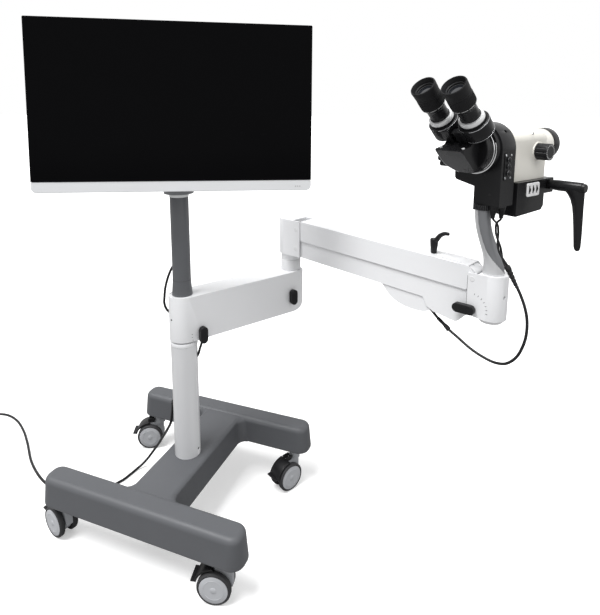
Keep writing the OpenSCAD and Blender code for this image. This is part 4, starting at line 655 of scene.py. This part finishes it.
def foot_skin():
    """The foot's cover: two bars and a bridge, hollow below, with a socket for the column."""
    soft = 11
    side = [(BRIDGE_HALF, FOOT_LOW)]
    side += arc(BRIDGE_HALF - BRIDGE_LEAN - soft, BRIDGE_TOP - soft, soft, 0, 90, 15)
    bridge = bmesh.new()
    plate(bridge, side + [(-x, z) for x, z in reversed(side)], -206, 180, turn(90, "X"))
    steps = [("UNION", bar_skin(FAR_Y)), ("UNION", bridge)]
    for sx in (-1, 1):
        for y, sy in ((NEAR_Y + BAR_W / 2, 1), (FAR_Y - BAR_W / 2, -1)):
            steps.append(("UNION", foot_fillet(sx, sy, y)))
    for low, high in (((-258, NEAR_Y - 22), (238, NEAR_Y + 22)), ((-258, FAR_Y - 22), (238, FAR_Y + 22)),
                      ((-46, NEAR_Y), (46, FAR_Y))):
        cut = bmesh.new()
        block(cut, (*low, CAVITY_LOW), (*high, CAVITY_TOP), PLAIN)
        steps.append(("DIFFERENCE", cut))
    socket = turned([(0, 90), (COLUMN_R + 0.1, 90), (COLUMN_R + 0.1, 190), (0, 190)], PLAIN, 96)
    steps.append(("DIFFERENCE", socket))
    skin = put("foot_shell_skin", carve(bar_skin(NEAR_Y), steps), [FOOT], "base", sharp=32)
    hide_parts("foot_shell")


def make_foot():
    foot_skin()
    for n in ("foot_frame", "spindle"):
        for s in NODES[n].material_slots:
            s.material = STEEL
    for s in NODES["gas_spring"].material_slots:
        s.material = BRACKET
    for i, (x, y, a) in enumerate(CASTORS, 1):
        axle = shift(x, y, 0) @ turn(a, "Z") @ shift(TRAIL, 0, WHEEL_R)
        inside = local(axle)

        def shade(f):
            p = inside(f.calc_center_median())
            return 0 if abs(p.y) > 22.5 and math.hypot(p.x, p.z) < 32 else 1

        wheels = "wheels_%d" % i
        dress("castor_" + wheels, [DISC, TREAD], wheels, bevel=0.8, steps=2, pick=shade,
              limit=30)
        dress("castor_body_%d" % i, [CASTOR], "castor_%d" % i, bevel=1.2, steps=2)
        dress("castor_pedal_%d" % i, [BLACK], "pedal_%d" % i, bevel=1.0, steps=2)
        hub = bmesh.new()
        for k in (0, 180):
            side = axle @ turn(k, "Z") @ turn(90, "X")
            lathe(hub, [(0, 24.6), (6.5, 24.6), (7.3, 24.1), (7.3, 23.2)], side, 40)
            lathe(hub, [(21.4, 23.7), (21.9, 24.3), (23.1, 24.25), (23.6, 23.6)], side, 72)
        put("castor_hub_%d" % i, hub, [DISC], wheels)


make_foot()


# column and pole
def make_column():
    dress("column", [WHITE, SEAM], "base", bevel=0.5, steps=2,
          pick=lambda f: 1 if 0.4811 < f.calc_center_median().z < 0.4842 else 0)
    dress("pole", [POLE], "base", bevel=0.8, steps=2, limit=50)
    dress("pole_collar", [SILVER], "base", bevel=1.0)
    bm = bmesh.new()
    lathe(bm, [(31, 470.6), (33.1, 470.6), (33.1, 471.2), (31, 471.2)], PLAIN, 96)
    lathe(bm, [(22.05, 635.4), (22.3, 635.6), (22.3, 636.4), (22.05, 636.6)], PLAIN, 96)
    put("column_seams", bm, [SEAM], "base")
    spot = shift(0, 0, 191) @ turn(90, "Y")
    screw = turned([(0, 29.6), (2.6, 29.6), (3.4, 30.6), (3.45, 31.6)], spot, 32)
    put("foot_screw", screw, [BRACKET], "base")


make_column()


# monitor
def make_monitor():
    dress("monitor_bracket", [POSTG], "monitor_mount", bevel=1.2, steps=2)
    inside = local(PANEL)
    dress("monitor_shell", [BACK], "monitor", bevel=2.0, steps=3)
    dress("monitor_glass", [SCREEN, BLACK], "monitor", bevel=0.6, steps=2,
          pick=lambda f: 0 if inside(f.calc_center_median()).y < 0.5 else 1)
    dress("monitor_chin", [CHIN], "monitor", bevel=1.4, steps=3)
    bm = bmesh.new()
    for k in range(3):
        block(bm, (266 + 5 * k, -0.4, -186.5), (268.2 + 5 * k, 0.3, -185.6), PANEL)
    block(bm, (-300, -0.35, -172.2), (300, 0.2, -171.4), PANEL)
    put("chin_marks", bm, [MARK], "monitor")
    # Rows of black blocks stand for the vent slots; their black is painted shade of the openings.
    bm = bmesh.new()
    for row in range(9):
        for k in range(26):
            x = -156 + 12.5 * k
            z = 39 - 5.5 * row
            block(bm, (x - 4.6, 29.2, z - 1), (x + 4.6, 30.4, z + 1), PANEL)
    put("back_vents", bm, [BLACK], "monitor")


make_monitor()


# extension arm and balanced arm
def grip_detail(bm, space, length):
    """A soft face pad on a stadium knob; the face looks along the space's Z axis."""
    plate(bm, stadium(length - 5, 14.5), 14.6, 15.5, space, bevel=0.4)
    for k in (-1, 0, 1):
        plate(bm, stadium(length * 0.5, 1.2, 4), 15.4, 15.8, space @ shift(0, 3.6 * k, 0))


END_X = 362.3
ARM_LOW = 484.5
ARM_HIGH = 598
ARM_HALF = 34
SPINDLE_R = 18.05
PIN_R = 12.05
STEM_L = 12
STEM_R = 4.05


def extension_skin():
    """The extension arm, a flat bar with round ends and a large round corner low at the elbow."""
    r = 24
    plan = arc(0, 0, ARM_HALF, 90, 270, 6)
    plan += arc(END_X - r, -ARM_HALF + r, r, -90, 0, 6) + arc(END_X - r, ARM_HALF - r, r, 0, 90, 6)
    bm = bmesh.new()
    plate(bm, plan, ARM_LOW, ARM_HIGH, EXTENSION)
    r = 46
    side = [(-ARM_HALF - 1, ARM_HIGH + 1), (-ARM_HALF - 1, ARM_LOW), (END_X - r, ARM_LOW)]
    side += arc(END_X - r, ARM_LOW + r, r, -85, 0, 5)
    side += [(END_X + 1, ARM_LOW + r), (END_X + 1, ARM_HIGH + 1)]
    cut = bmesh.new()
    plate(cut, side, -60, 60, EXTENSION @ turn(90, "X"))
    steps = [("INTERSECT", cut)]
    over = ARM_HIGH + 20
    for r, low, space, seg in ((SPINDLE_R, ARM_LOW - 20, PLAIN, 96), (PIN_R, ARM_HIGH - 60, ELBOW, 64)):
        steps.append(("DIFFERENCE", turned([(0, low), (r, low), (r, over), (0, over)], space, seg)))
    low = ARM_HALF - STEM_L
    for x, z in KNOBS.values():
        hole = EXTENSION @ shift(x, 0, z) @ turn(90, "X")
        steps.append(("DIFFERENCE", turned([(0, low), (STEM_R, low), (STEM_R, 40), (0, 40)], hole, 40)))
    bm = carve(bm, steps)
    bmesh.ops.dissolve_limit(bm, angle_limit=0.5 * DEG, verts=bm.verts, edges=bm.edges)
    back = local(EXTENSION)

    def outside(e):
        """Whether an edge lies away from the bores for the spindle, the pin and the knobs' stems."""
        p = back((e.verts[0].co + e.verts[1].co) / 2)
        if math.hypot(p.x, p.y) <= SPINDLE_R + 3 or math.hypot(p.x - ELBOW_X, p.y) <= 16:
            return False
        near = any(math.hypot(p.x - x, p.z - z) < STEM_R + 1 for x, z in KNOBS.values())
        return not (near and p.y < 0.1 - ARM_HALF)

    round_edges(bm, sharp_edges(bm, 35, outside), 3.4, 4)
    skin = put("extension_arm_skin", bm, [WHITE], "extension", sharp=34)
    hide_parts("extension_arm")


def lever_skin():
    """The small lever, a round stem with a hook that thins towards its tip."""
    spot = UPPER @ shift(386, 0, 24) @ turn(-LINK_SLOPE, "Y")
    bm = turned([(0, -12), (3, -12), (3, 0.4), (6.2, 0.4), (6.6, 1), (8.6, 20), (9.1, 30), (8.8, 32.4),
                 (7.4, 33.7), (4, 34.2), (0, 34.2)], spot, 48)
    hook = curve([(0, 0, 27), (8, 0, 33), (15, 0, 41.5), (24, 0, 48), (33, 0, 51.5), (43.5, 0, 52.6)], 6)
    size = [6.4 - 2.6 * k / (len(hook) - 1) for k in range(len(hook))]
    size[-2:] = [3.6, 2.2]
    sweep(bm, hook, size, spot @ turn(-20, "Z"), 20)
    skin = put("small_lever_skin", bm, [BLACK], "small_lever", sharp=50)
    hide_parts("small_lever")


def dial(name, body, space, r, half, headings):
    """Short printed lines on a circle in the space's XZ plane, one for each heading."""
    bm = bmesh.new()
    for a in headings:
        spot = space @ shift(r * math.cos(a * DEG), 0, r * math.sin(a * DEG)) @ turn(-a, "Y")
        block(bm, (-half, -0.12, -0.45), (half, 0.1, 0.45), spot)
    put(name, bm, [MARK], body)


def make_knobs():
    for name, (x, z) in KNOBS.items():
        dress(name, [BLACK], name, bevel=2.6, steps=4)
        bm = bmesh.new()
        grip_detail(bm, EXTENSION @ shift(x, -ARM_HALF, z) @ turn(90, "X") @ turn(90, "Z"), 42)
        put(name + "_pad", bm, [RUBBER], name)
    dress("tension_knob", [BLACK], "tension_knob", bevel=2.6, steps=4)
    bm = bmesh.new()
    grip_detail(bm, HUB @ shift(-11, -HUB_FACE, DIAL_Z) @ turn(90, "X"), 48)
    put("tension_pad", bm, [RUBBER], "tension_knob")
    dial("tension_marks", "hub", HUB @ shift(0, -HUB_FACE - 0.02, DIAL_Z), 34, 1.9, range(78, -7, -14))
    x, z = KNOBS["knob_a"]
    dial("knob_a_marks", "extension", EXTENSION @ shift(x, -ARM_HALF - 0.02, z), 26, 1.6, range(170, 222, 17))


def make_covers():
    """The hood over the front of the upper link and the rear cover under the lower one."""
    hood = [(-92, 24.3), (-84, 25.6), (-66, 26.8), (-48, 26.9), (-34, 26), (-22, 23.9), (-12, 20.6), (-5, 17),
            (0.5, 13.6), (3.6, 10.6), (4.6, 7.6)]
    hood = smooth(hood, 4) + [(4.6, 4), (-10, 4), (-13, 20), (-92, 23)]
    bm = bmesh.new()
    plate(bm, hood, -21, 21, UPPER @ shift(LINK_L, 0, 0) @ turn(90, "X"), bevel=2.6, steps=4)
    put("link_hood", bm, [WHITE], "upper", sharp=50)
    belly = [(268, -21), (271, -24), (279, -33), (290, -43), (303, -51), (318, -56.5), (334, -59.4),
             (350, -60.2), (366, -59.6), (380, -57.6), (390, -54), (396.4, -48), (398.6, -40), (398.8, -21)]
    bm = bmesh.new()
    plate(bm, smooth(belly, 3), -21.6, 21.6, LOWER @ turn(90, "X"), bevel=4.5, steps=5)
    put("rear_cover", bm, [WHITE], "lower", sharp=50)


def make_arm_details():
    """Screws, seams and the caps over the links' pins."""
    front = HUB @ shift(32, 0, -32) @ turn(-20, "Z") @ shift(30.4, 0, 0) @ turn(90, "Y")
    put("hub_screws", turned([(0, -1.2), (2.6, -1.2), (3.3, -0.2)], front, 28), [STEEL], "hub")
    head = [(0, 0.4), (1.2, 0.4), (1.3, 1.1), (2.6, 1.1), (3.0, 0.6), (3.0, -1.5)]
    screw = turned(head, UPPER @ shift(LINK_L - 13, 0, 20.6) @ turn(22, "Y"), 28)
    put("hood_screw", screw, [STEEL], "upper")
    bm = bmesh.new()
    for y in (0.05 - HUB_FACE, HUB_FACE - 0.05):
        block(bm, (-10.1, y - 0.12, -70), (-9.3, y + 0.12, 6), HUB)
    put("hub_seams", bm, [SEAM], "hub")
    cap = [(0, 0.5), (5.2, 0.5), (5.8, 0.0), (5.8, -0.6)]
    pins = ARM @ shift(PIN_X, 0, PIN_Z)
    for name, body, space, places in (
            ("elbow_caps", "elbow", pins, ((-1, 0), (1, 0), (-1, -PIN_GAP), (1, -PIN_GAP))),
            ("hub_caps", "hub", HUB, ((-1, 0), (1, 0), (1, -PIN_GAP)))):
        bm = bmesh.new()
        for k, z in places:
            lathe(bm, cap, space @ shift(0, k * HUB_FACE, z) @ turn(-90 * k, "X"), 36)
        put(name, bm, [PALE], body)
    bm = bmesh.new()
    for a, z, rings in ((200, 547, [(0, 22.5), (2.2, 22.5), (2.6, 23.2)]),
                        (248, 541, [(0, 23.35), (2.2, 23.35), (2.7, 23.1)])):
        lathe(bm, rings, turn(a, "Z") @ shift(10.8, 0, z) @ turn(90, "Y"), 24)
    put("extension_screw", bm, [BRACKET], "extension")


def make_arms():
    extension_skin()
    dress("elbow_foot", [PALE], "extension", bevel=1.0)
    dress("elbow_block", [WHITE], "elbow", bevel=1.6)
    dress("upper_link", [WHITE], "upper", bevel=1.1)
    dress("lower_link", [WHITE], "lower", bevel=1.1)
    dress("end_hub", [WHITE], "hub", bevel=1.6)
    lever_skin()
    make_knobs()
    make_covers()
    make_arm_details()


make_arms()


# head
POST_SHARES = [(0, 0, 1), (0.08, 0.01, 0.98), (0.17, 0.05, 0.93), (0.28, 0.17, 0.86), (0.38, 0.34, 0.8),
               (0.48, 0.52, 0.76), (0.6, 0.71, 0.73), (0.72, 0.86, 0.72), (0.84, 0.95, 0.72), (1, 1, 0.72)]
POST_R = 21.5
POST_L = 134.6
# Heading at which the post's painted highlight begins; it runs on to the crease.
PAINTED_LIGHT_FROM = 110
CREASE = 0.5


def make_post():
    """The curved post with its lit side painted paler as a painted highlight, the crease that edges it and
    the two pivots.

    The shares are those of the height, of the lean and of the radius."""
    bm = bmesh.new()
    m = ROW @ POST
    seg = 144
    rows = []
    edges = []
    for q in curve(POST_SHARES, 9):
        edge = 250 - 18 * q.x + 100 * (1 - min(1, q.x / 0.4)) ** 1.6
        row = []
        for k in range(seg):
            a = 360 * k / seg
            near = abs((a - edge + 180) % 360 - 180)
            r = POST_R * q.z - CREASE * max(0, 1 - near / 8)
            x = LEAN_X * q.y + r * math.cos(a * DEG)
            y = LEAN_Y * q.y + r * math.sin(a * DEG)
            row.append(bm.verts.new(m @ Vector((x, y, POST_L * q.x))))
        rows.append(row)
        edges.append(edge)
    for p, q, edge in zip(rows, rows[1:], edges):
        for k in range(seg):
            j = (k + 1) % seg
            f = bm.faces.new((p[k], p[j], q[j], q[k]))
            # Faces from that heading to the crease take the paler finish: a painted highlight on the side
            # toward the key light.
            f.material_index = 1 if PAINTED_LIGHT_FROM < 360 * (k + 0.5) / seg < edge else 0
    bm.faces.new(list(reversed(rows[0])))
    bm.faces.new(rows[-1])
    lathe(bm, [(0, -59), (11, -59), (11, 0.2), (0, 0.2)], POST, 40)
    lathe(bm, [(0, 134.5), (8, 134.5), (8, 168.5), (0, 168.5)], POST @ shift(LEAN_X, LEAN_Y, 0), 40)
    skin = put("swivel_post_skin", bm, [POSTG, POST_PAINTED_LIGHT], "post", sharp=50)
    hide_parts("swivel_post")
    ring = turned([(21.3, 0.2), (21.75, 0.3), (21.75, 1.3), (21.3, 1.5)], POST, 72)
    put("post_ring", ring, [SILVER], "post")


EYE_APART = 35
EYE_RISE = 13.4
EYE_LOW = 36.3
LUG_H = 9


def eye_side(k, name):
    """One ocular: round prism drum, bright ring, tube, ribbed focus ring and soft cup."""
    body = "eye_" + name
    axis = EYES @ shift(EYE_APART * k, EYE_RISE, 0)
    low = EYE_LOW if k > 0 else EYE_LOW + LUG_H + 0.3
    bm = bmesh.new()
    lathe(bm, [(0, EYE_LOW), (28.6, EYE_LOW), (29.7, 37), (30, 38.2), (30, 66), (29.5, 67), (28.6, 67.4),
               (25.4, 67.6), (25.4, 72), (0, 72)], axis, 96)
    lathe(bm, [(0, low), (7.8, low), (7.8, low + LUG_H), (0, low + LUG_H)], HINGE, 40)
    for near, far, y_low, y_high, z_low, z_high, bevel in (
            (0, 14, -10.2, 0.2, low, low + LUG_H, 1), (9, 26, -17, 18, 36.4, 66, 2.5),
            (5.5, 20, -17, -13.4, 37, 66.2, 0.8)):
        left, right = sorted((near * k, far * k))
        block(bm, (left, y_low, z_low), (right, y_high, z_high), EYES, bevel=bevel)
    if k > 0:
        lathe(bm, [(0, 21.6), (6, 21.6), (6, 57.6), (0, 57.6)], HINGE, 40)
    lathe(bm, [(0, 71), (24.6, 71), (24.6, 79.2), (23.8, 80.6), (20.4, 80.9), (0, 80.9)], axis, 96, mat=1)
    lathe(bm, [(0, 80), (19.8, 80), (20.2, 81), (20.2, 83.4), (19.2, 84.4), (18.8, 85), (18.8, 101),
               (19.4, 103.5), (21.4, 108), (22.2, 110.6), (19.9, 111), (19.9, 136.5), (0, 136.5)], axis, 96)
    cup = [(0, 136.3), (23.4, 136.3), (24.2, 137), (24.2, 140.2), (23.6, 140.8), (23.6, 142), (24.4, 142.8),
           (24.8, 150), (25.2, 157.6), (24.9, 159.4), (24, 160.4), (22.9, 160.3), (22.2, 159.4),
           (21.6, 156.4), (19.6, 153.6), (19.2, 151.2), (17.2, 150.2), (16.6, 147.6), (14.6, 147.2)]
    lathe(bm, cup, axis, 96, mat=3)
    lathe(bm, [(14.8, 147), (12, 147.9), (8, 148.7), (4, 149.1), (0, 149.2)], axis, 64, mat=2)
    skin = put("eye_tube_%s_skin" % name, bm, [HEADB, SILVER, LENS, RUBBER], body, sharp=32)
    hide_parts("eye_tube_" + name)
    bm = bmesh.new()
    ring = [(19.95, 111.4), (23.2, 111.4), (24, 112), (24, 135), (23.2, 135.9), (19.95, 135.9)]
    lathe(bm, ring, axis, 96, closed=True)
    for n in range(48):
        rib = axis @ turn(7.5 * n, "Z")
        block(bm, (23.8, -0.55, 114.6), (24.55, 0.55, 133.6), rib, bevel=0.25, steps=1)
    mark = [(23.9, 112.3), (24.2, 112.45), (24.2, 113.05), (23.9, 113.2)]
    for n in range(10):
        lathe(bm, mark, axis, 8, mat=1, a0=36 * n, a1=36 * n + 30)
    skin = put("focus_ring_%s_skin" % name, bm, [RUBBER, INK], "focus_" + name, sharp=32)
    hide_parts("focus_ring_" + name)
    bm = bmesh.new()
    lathe(bm, [(29.9, 38.4), (30.15, 38.5), (30.15, 39), (29.9, 39.1)], axis, 96)
    lathe(bm, [(29.9, 65.6), (30.15, 65.7), (30.1, 66.3), (29.8, 66.5)], axis, 96, a0=-80, a1=260)
    put("drum_line_" + name, bm, [STEEL], body)


def side_cut(side, half):
    """A solid drawn from an outline in the head's side view, as y and z, across the head."""
    bm = bmesh.new()
    plate(bm, side, -half, half, HEAD @ turn(90, "Z") @ turn(90, "X"))
    return bm


WEDGE_R = 47
WEDGE_SLOPE = 1.0825


def wedge_skin():
    """The prism wedge in front of the bright ring, with the round base it grows from."""
    ahead = BARREL @ turn(90, "X")
    bm = bmesh.new()
    plan = [(-49, -26), (-49, -98), (-47, -100), (5, -100), (9, -99), (12, -96.5), (13, -92.5), (13, -26)]
    plate(bm, plan, 60, 170, HEAD)
    side = side_cut([(-26, 66.5), (-50, 67), (-99, 112.2), (-99.8, 114.2), (-71.5, 121.1), (-26, 166.4)], 60)
    barrel = turned([(0, 20), (WEDGE_R, 20), (WEDGE_R, 102), (0, 102)], ahead, 128)
    bm = carve(bm, [("INTERSECT", side), ("INTERSECT", barrel)])
    drum = turned([(0, 26), (42.6, 26), (43, 26.6), (43, 42), (41.6, 43.5), (0, 43.5)], ahead, 96)
    under = side_cut([(-20, 50), (-60, 50), (-60, 132.3), (-20, 172.3)], 70)
    drum = carve(drum, [("INTERSECT", under)])
    bore = turned([(0, 17), (6.1, 17), (6.1, 80), (0, 80)], HINGE, 40)
    bm = carve(bm, [("UNION", drum), ("DIFFERENCE", bore)])
    round_edges(bm, sharp_edges(bm, 35), 0.9, 2)
    skin = put("wedge_skin", bm, [HEADB], "head", sharp=32)
    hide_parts("wedge")
    line = [(-48, -99, 112.2), (-49, -92, 105.6)]
    for z in (96, 92, 88, 84, 80, 76, 73, 70.5, 68.5, 67.4):
        reach = min(37, math.sqrt(WEDGE_R ** 2 - (BARREL_Z - z) ** 2))
        line.append((BARREL_X - reach, -50 - (z - 67) * WEDGE_SLOPE, z))
    bm = bmesh.new()
    sweep(bm, line, 0.5, HEAD, 8)
    put("wedge_line", bm, [STEEL], "head")
    ring = turned([(47.2, 21.9), (49.2, 22.3), (49.2, 23), (47.2, 23.3)], ahead, 96)
    put("housing_ring", ring, [CHROME], "head")


BUTTON_Y = 11
BUTTON_Z = (93.2, 80, 66.8)


def make_buttons():
    for k, z in enumerate(BUTTON_Z, 1):
        name = "button_%d" % k
        dress(name, [BLACK], name, bevel=0.8, only=lambda e: e.is_convex)
        spot = HEAD @ shift(41.5, BUTTON_Y, z) @ turn(90, "Y")
        bm = turned([(4.2, 3.4), (5.4, 3.5), (5.4, 4.6), (4.4, 5.6), (2.8, 6.3), (0, 6.6)], spot, 40)
        lathe(bm, [(5.35, 3.7), (5.55, 3.8), (5.55, 4.1), (5.35, 4.2)], spot, 40, mat=1)
        put("button_cap_%d" % k, bm, [BLACK, STEEL], name)


def handle_skin():
    """The clamp handle: its round grip across the head and the tapered lever that hangs from it."""
    spot = HEAD @ shift(0, 178, 29.5)
    across = spot @ turn(90, "Y")
    bm = turned([(0, 7.5), (6, 7.5), (6, 39.9), (0, 39.9)], across, 40)
    lathe(bm, [(0, 39.9), (9.6, 39.9), (10.4, 41), (10.6, 50), (11.5, 60), (11.5, 110), (10.8, 111.6),
               (9.6, 112), (9.4, 116.6), (8.4, 117.9), (0, 117.9)], across, 64)
    rings = [(92, 6, 12, 6), (92, 3, 19, 9.5), (93, -3, 22, 10.6), (96, -9, 20, 10.6), (99.5, -17, 16.6, 9.6),
             (102.5, -27, 13.6, 8.8), (104.6, -40, 11.6, 8), (106.4, -58, 10.2, 7.4), (108, -80, 9.2, 6.8),
             (109.4, -104, 8.2, 6.2), (110.2, -124, 7.2, 5.4), (110.4, -130, 5.8, 4.4),
             (110.4, -133, 3.6, 2.8), (110.4, -134, 1.2, 1)]
    loft(bm, rings, spot)
    skin = put("clamp_handle_skin", bm, [HEADB], "handle", sharp=40)
    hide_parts("clamp_handle")


def connectors_skin():
    """The plate under the head with the ribbed boots of its two connectors."""
    bm = bmesh.new()
    block(bm, (17.6, -8, -2.4), (41.2, 17.2, 0), HEAD, bevel=0.6)
    rings = [(0, -1), (7.6, -1), (7.6, -7), (6.6, -7.6)]
    for n in range(6):
        z = -8.4 - 2.9 * n
        r = 5.4 - 0.42 * n
        rings += [(6.8 - 0.5 * n, z), (6.6 - 0.5 * n, z - 1.7), (r, z - 1.9), (r - 0.1, z - 2.7)]
    rings += [(2.6, -26.2), (0, -26.2)]
    for x, y in ((24.5, -2), (34, 12)):
        lathe(bm, rings, HEAD @ shift(x, y, 0), 32)
    skin = put("head_connectors_skin", bm, [BLACK], "head", sharp=30)
    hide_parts("head_connectors")


def make_head_details():
    """The ribs of the neck, the dashes on the zoom knob and the screws."""
    bm = bmesh.new()
    for k in range(26):
        block(bm, (16.2, -1.1, -10.4), (17.9, 1.1, -0.8), HEAD @ turn(360 * k / 26, "Z"), bevel=0.4, steps=1)
    put("neck_ribs", bm, [TREAD], "head")
    bm = bmesh.new()
    for n in range(24):
        block(bm, (25.8, -0.5, 13), (26.15, 0.5, 16.2), HEAD @ shift(32, 140, 102) @ turn(15 * n, "X"))
    put("zoom_dashes", bm, [INK], "zoom_knob")
    bm = bmesh.new()
    screw = [(0, 0.9), (1.2, 0.9), (1.3, 1.9), (2.7, 1.6), (3.1, 0.9), (3.1, -1)]
    for x in (-43, 8):
        lathe(bm, screw, HEAD @ shift(x, -88, 117.3) @ turn(13.7, "X"), 28, mat=1)
    screw = [(0, 0.3), (1.0, 0.3), (1.05, 0.9), (1.9, 0.9), (2.2, 0.4), (2.2, -0.3)]
    for y, z in ((2, 102), (19.6, 102), (2, 57.5), (19.6, 57.5)):
        lathe(bm, screw, HEAD @ shift(43, y, z) @ turn(90, "Y"), 24)
    screw = [(0, 0.2), (1.6, 0.2), (1.7, 0.9), (2.6, 0.9), (2.9, 0)]
    lathe(bm, screw, HEAD @ shift(29.6, 117, 140) @ turn(90, "Y"), 24)
    put("head_screws", bm, [STEEL, SILVER], "head")


def make_head():
    inside = local(HEAD)

    def off_buttons(e):
        p = inside((e.verts[0].co + e.verts[1].co) / 2)
        return not (p.x > 36 and any(math.hypot(p.y - BUTTON_Y, p.z - z) < 9 for z in BUTTON_Z))

    dress("head_housing", [HEADB], "head", bevel=1.6, limit=50, only=off_buttons)
    dress("chrome_ring", [CHROME], "head", bevel=0.8)
    dress("button_panel", [BLACK], "head", bevel=0.4, steps=2)
    make_buttons()
    wedge_skin()
    dress("zoom_pod", [CREAM, LENS], "head", bevel=3.0, steps=4, limit=50)
    dress("zoom_knob", [BLACK], "zoom_knob", bevel=0.5, steps=2)
    ring = local(BARREL)

    def shade(f):
        p = ring(f.calc_center_median())
        return 1 if math.hypot(p.x, p.z) < 27.9 and 226.5 < p.y < 233.5 else 0

    dress("objective_ring", [HEADB, LENS], "head", bevel=1.0, pick=shade)
    dress("lamp_box", [HEADB], "head", bevel=2.0, limit=50)
    dress("dial_plate", [PLATE], "head", bevel=0.5, steps=2)
    dress("thumb_wheels", [BLACK], "thumb_wheels", bevel=0.4, steps=2)
    dress("lobed_knob", [BLACK], "lobed_knob", bevel=1.6)
    handle_skin()
    connectors_skin()
    eye_side(-1, "left")
    eye_side(1, "right")
    make_head_details()


make_post()
make_head()


# floor, light and backdrop
def make_floor():
    """A pale floor that shows as white to the camera and keeps the shadows."""
    me = bpy.data.meshes.new("floor")
    s = 40
    me.from_pydata([(-s, -s, 0), (s, -s, 0), (s, s, 0), (-s, s, 0)], [], [(0, 1, 2, 3)])
    floor = bpy.data.objects.new("floor", me)
    bpy.context.scene.collection.objects.link(floor)
    m = bpy.data.materials.new("floor")
    m.use_nodes = True
    tree = m.node_tree
    tree.nodes.clear()
    new = tree.nodes.new
    link = tree.links.new
    out = new("ShaderNodeOutputMaterial")
    add = new("ShaderNodeAddShader")
    base = new("ShaderNodeBsdfDiffuse")
    glow = new("ShaderNodeEmission")
    rays = new("ShaderNodeLightPath")
    tone = new("ShaderNodeMapRange")
    tone.inputs["To Min"].default_value = 0.3
    tone.inputs["To Max"].default_value = 0.8
    link(rays.outputs["Is Camera Ray"], tone.inputs["Value"])
    link(tone.outputs["Result"], base.inputs["Color"])
    gain = new("ShaderNodeMath")
    gain.operation = "MULTIPLY"
    gain.inputs[1].default_value = 0.34
    link(rays.outputs["Is Camera Ray"], gain.inputs[0])
    link(gain.outputs[0], glow.inputs["Strength"])
    link(base.outputs[0], add.inputs[0])
    link(glow.outputs[0], add.inputs[1])
    link(add.outputs[0], out.inputs["Surface"])
    me.materials.append(m)


def make_world():
    """A white backdrop, dimmer for the light that it sheds than for what shows it."""
    world = bpy.data.worlds.new("studio")
    bpy.context.scene.world = world
    world.use_nodes = True
    tree = world.node_tree
    tree.nodes.clear()
    new = tree.nodes.new
    link = tree.links.new
    out = new("ShaderNodeOutputWorld")
    back = new("ShaderNodeBackground")
    back.inputs["Color"].default_value = (1, 1, 1, 1)
    rays = new("ShaderNodeLightPath")
    one = new("ShaderNodeMath")
    one.operation = "ADD"
    two = new("ShaderNodeMath")
    two.operation = "ADD"
    two.use_clamp = True
    level = new("ShaderNodeMapRange")
    level.inputs["To Min"].default_value = 0.6
    level.inputs["To Max"].default_value = 1.0
    link(rays.outputs["Is Camera Ray"], one.inputs[0])
    link(rays.outputs["Is Glossy Ray"], one.inputs[1])
    link(one.outputs[0], two.inputs[0])
    link(rays.outputs["Is Transmission Ray"], two.inputs[1])
    link(two.outputs[0], level.inputs["Value"])
    link(level.outputs["Result"], back.inputs["Strength"])
    link(back.outputs[0], out.inputs["Surface"])


def make_lights():
    for name, heading, height, power, spread in (("key", -122, 66, 4.0, 30), ("fill", -20, 35, 0.55, 50)):
        data = bpy.data.lights.new(name, "SUN")
        data.energy = power
        data.angle = spread * DEG
        lamp = bpy.data.objects.new(name, data)
        a = heading * DEG
        b = height * DEG
        source = Vector((math.cos(a) * math.cos(b), math.sin(a) * math.cos(b), math.sin(b)))
        lamp.rotation_euler = source.to_track_quat("Z", "Y").to_euler()
        bpy.context.scene.collection.objects.link(lamp)


make_floor()
make_world()
make_lights()
bpy.context.scene.view_settings.view_transform = "Standard"
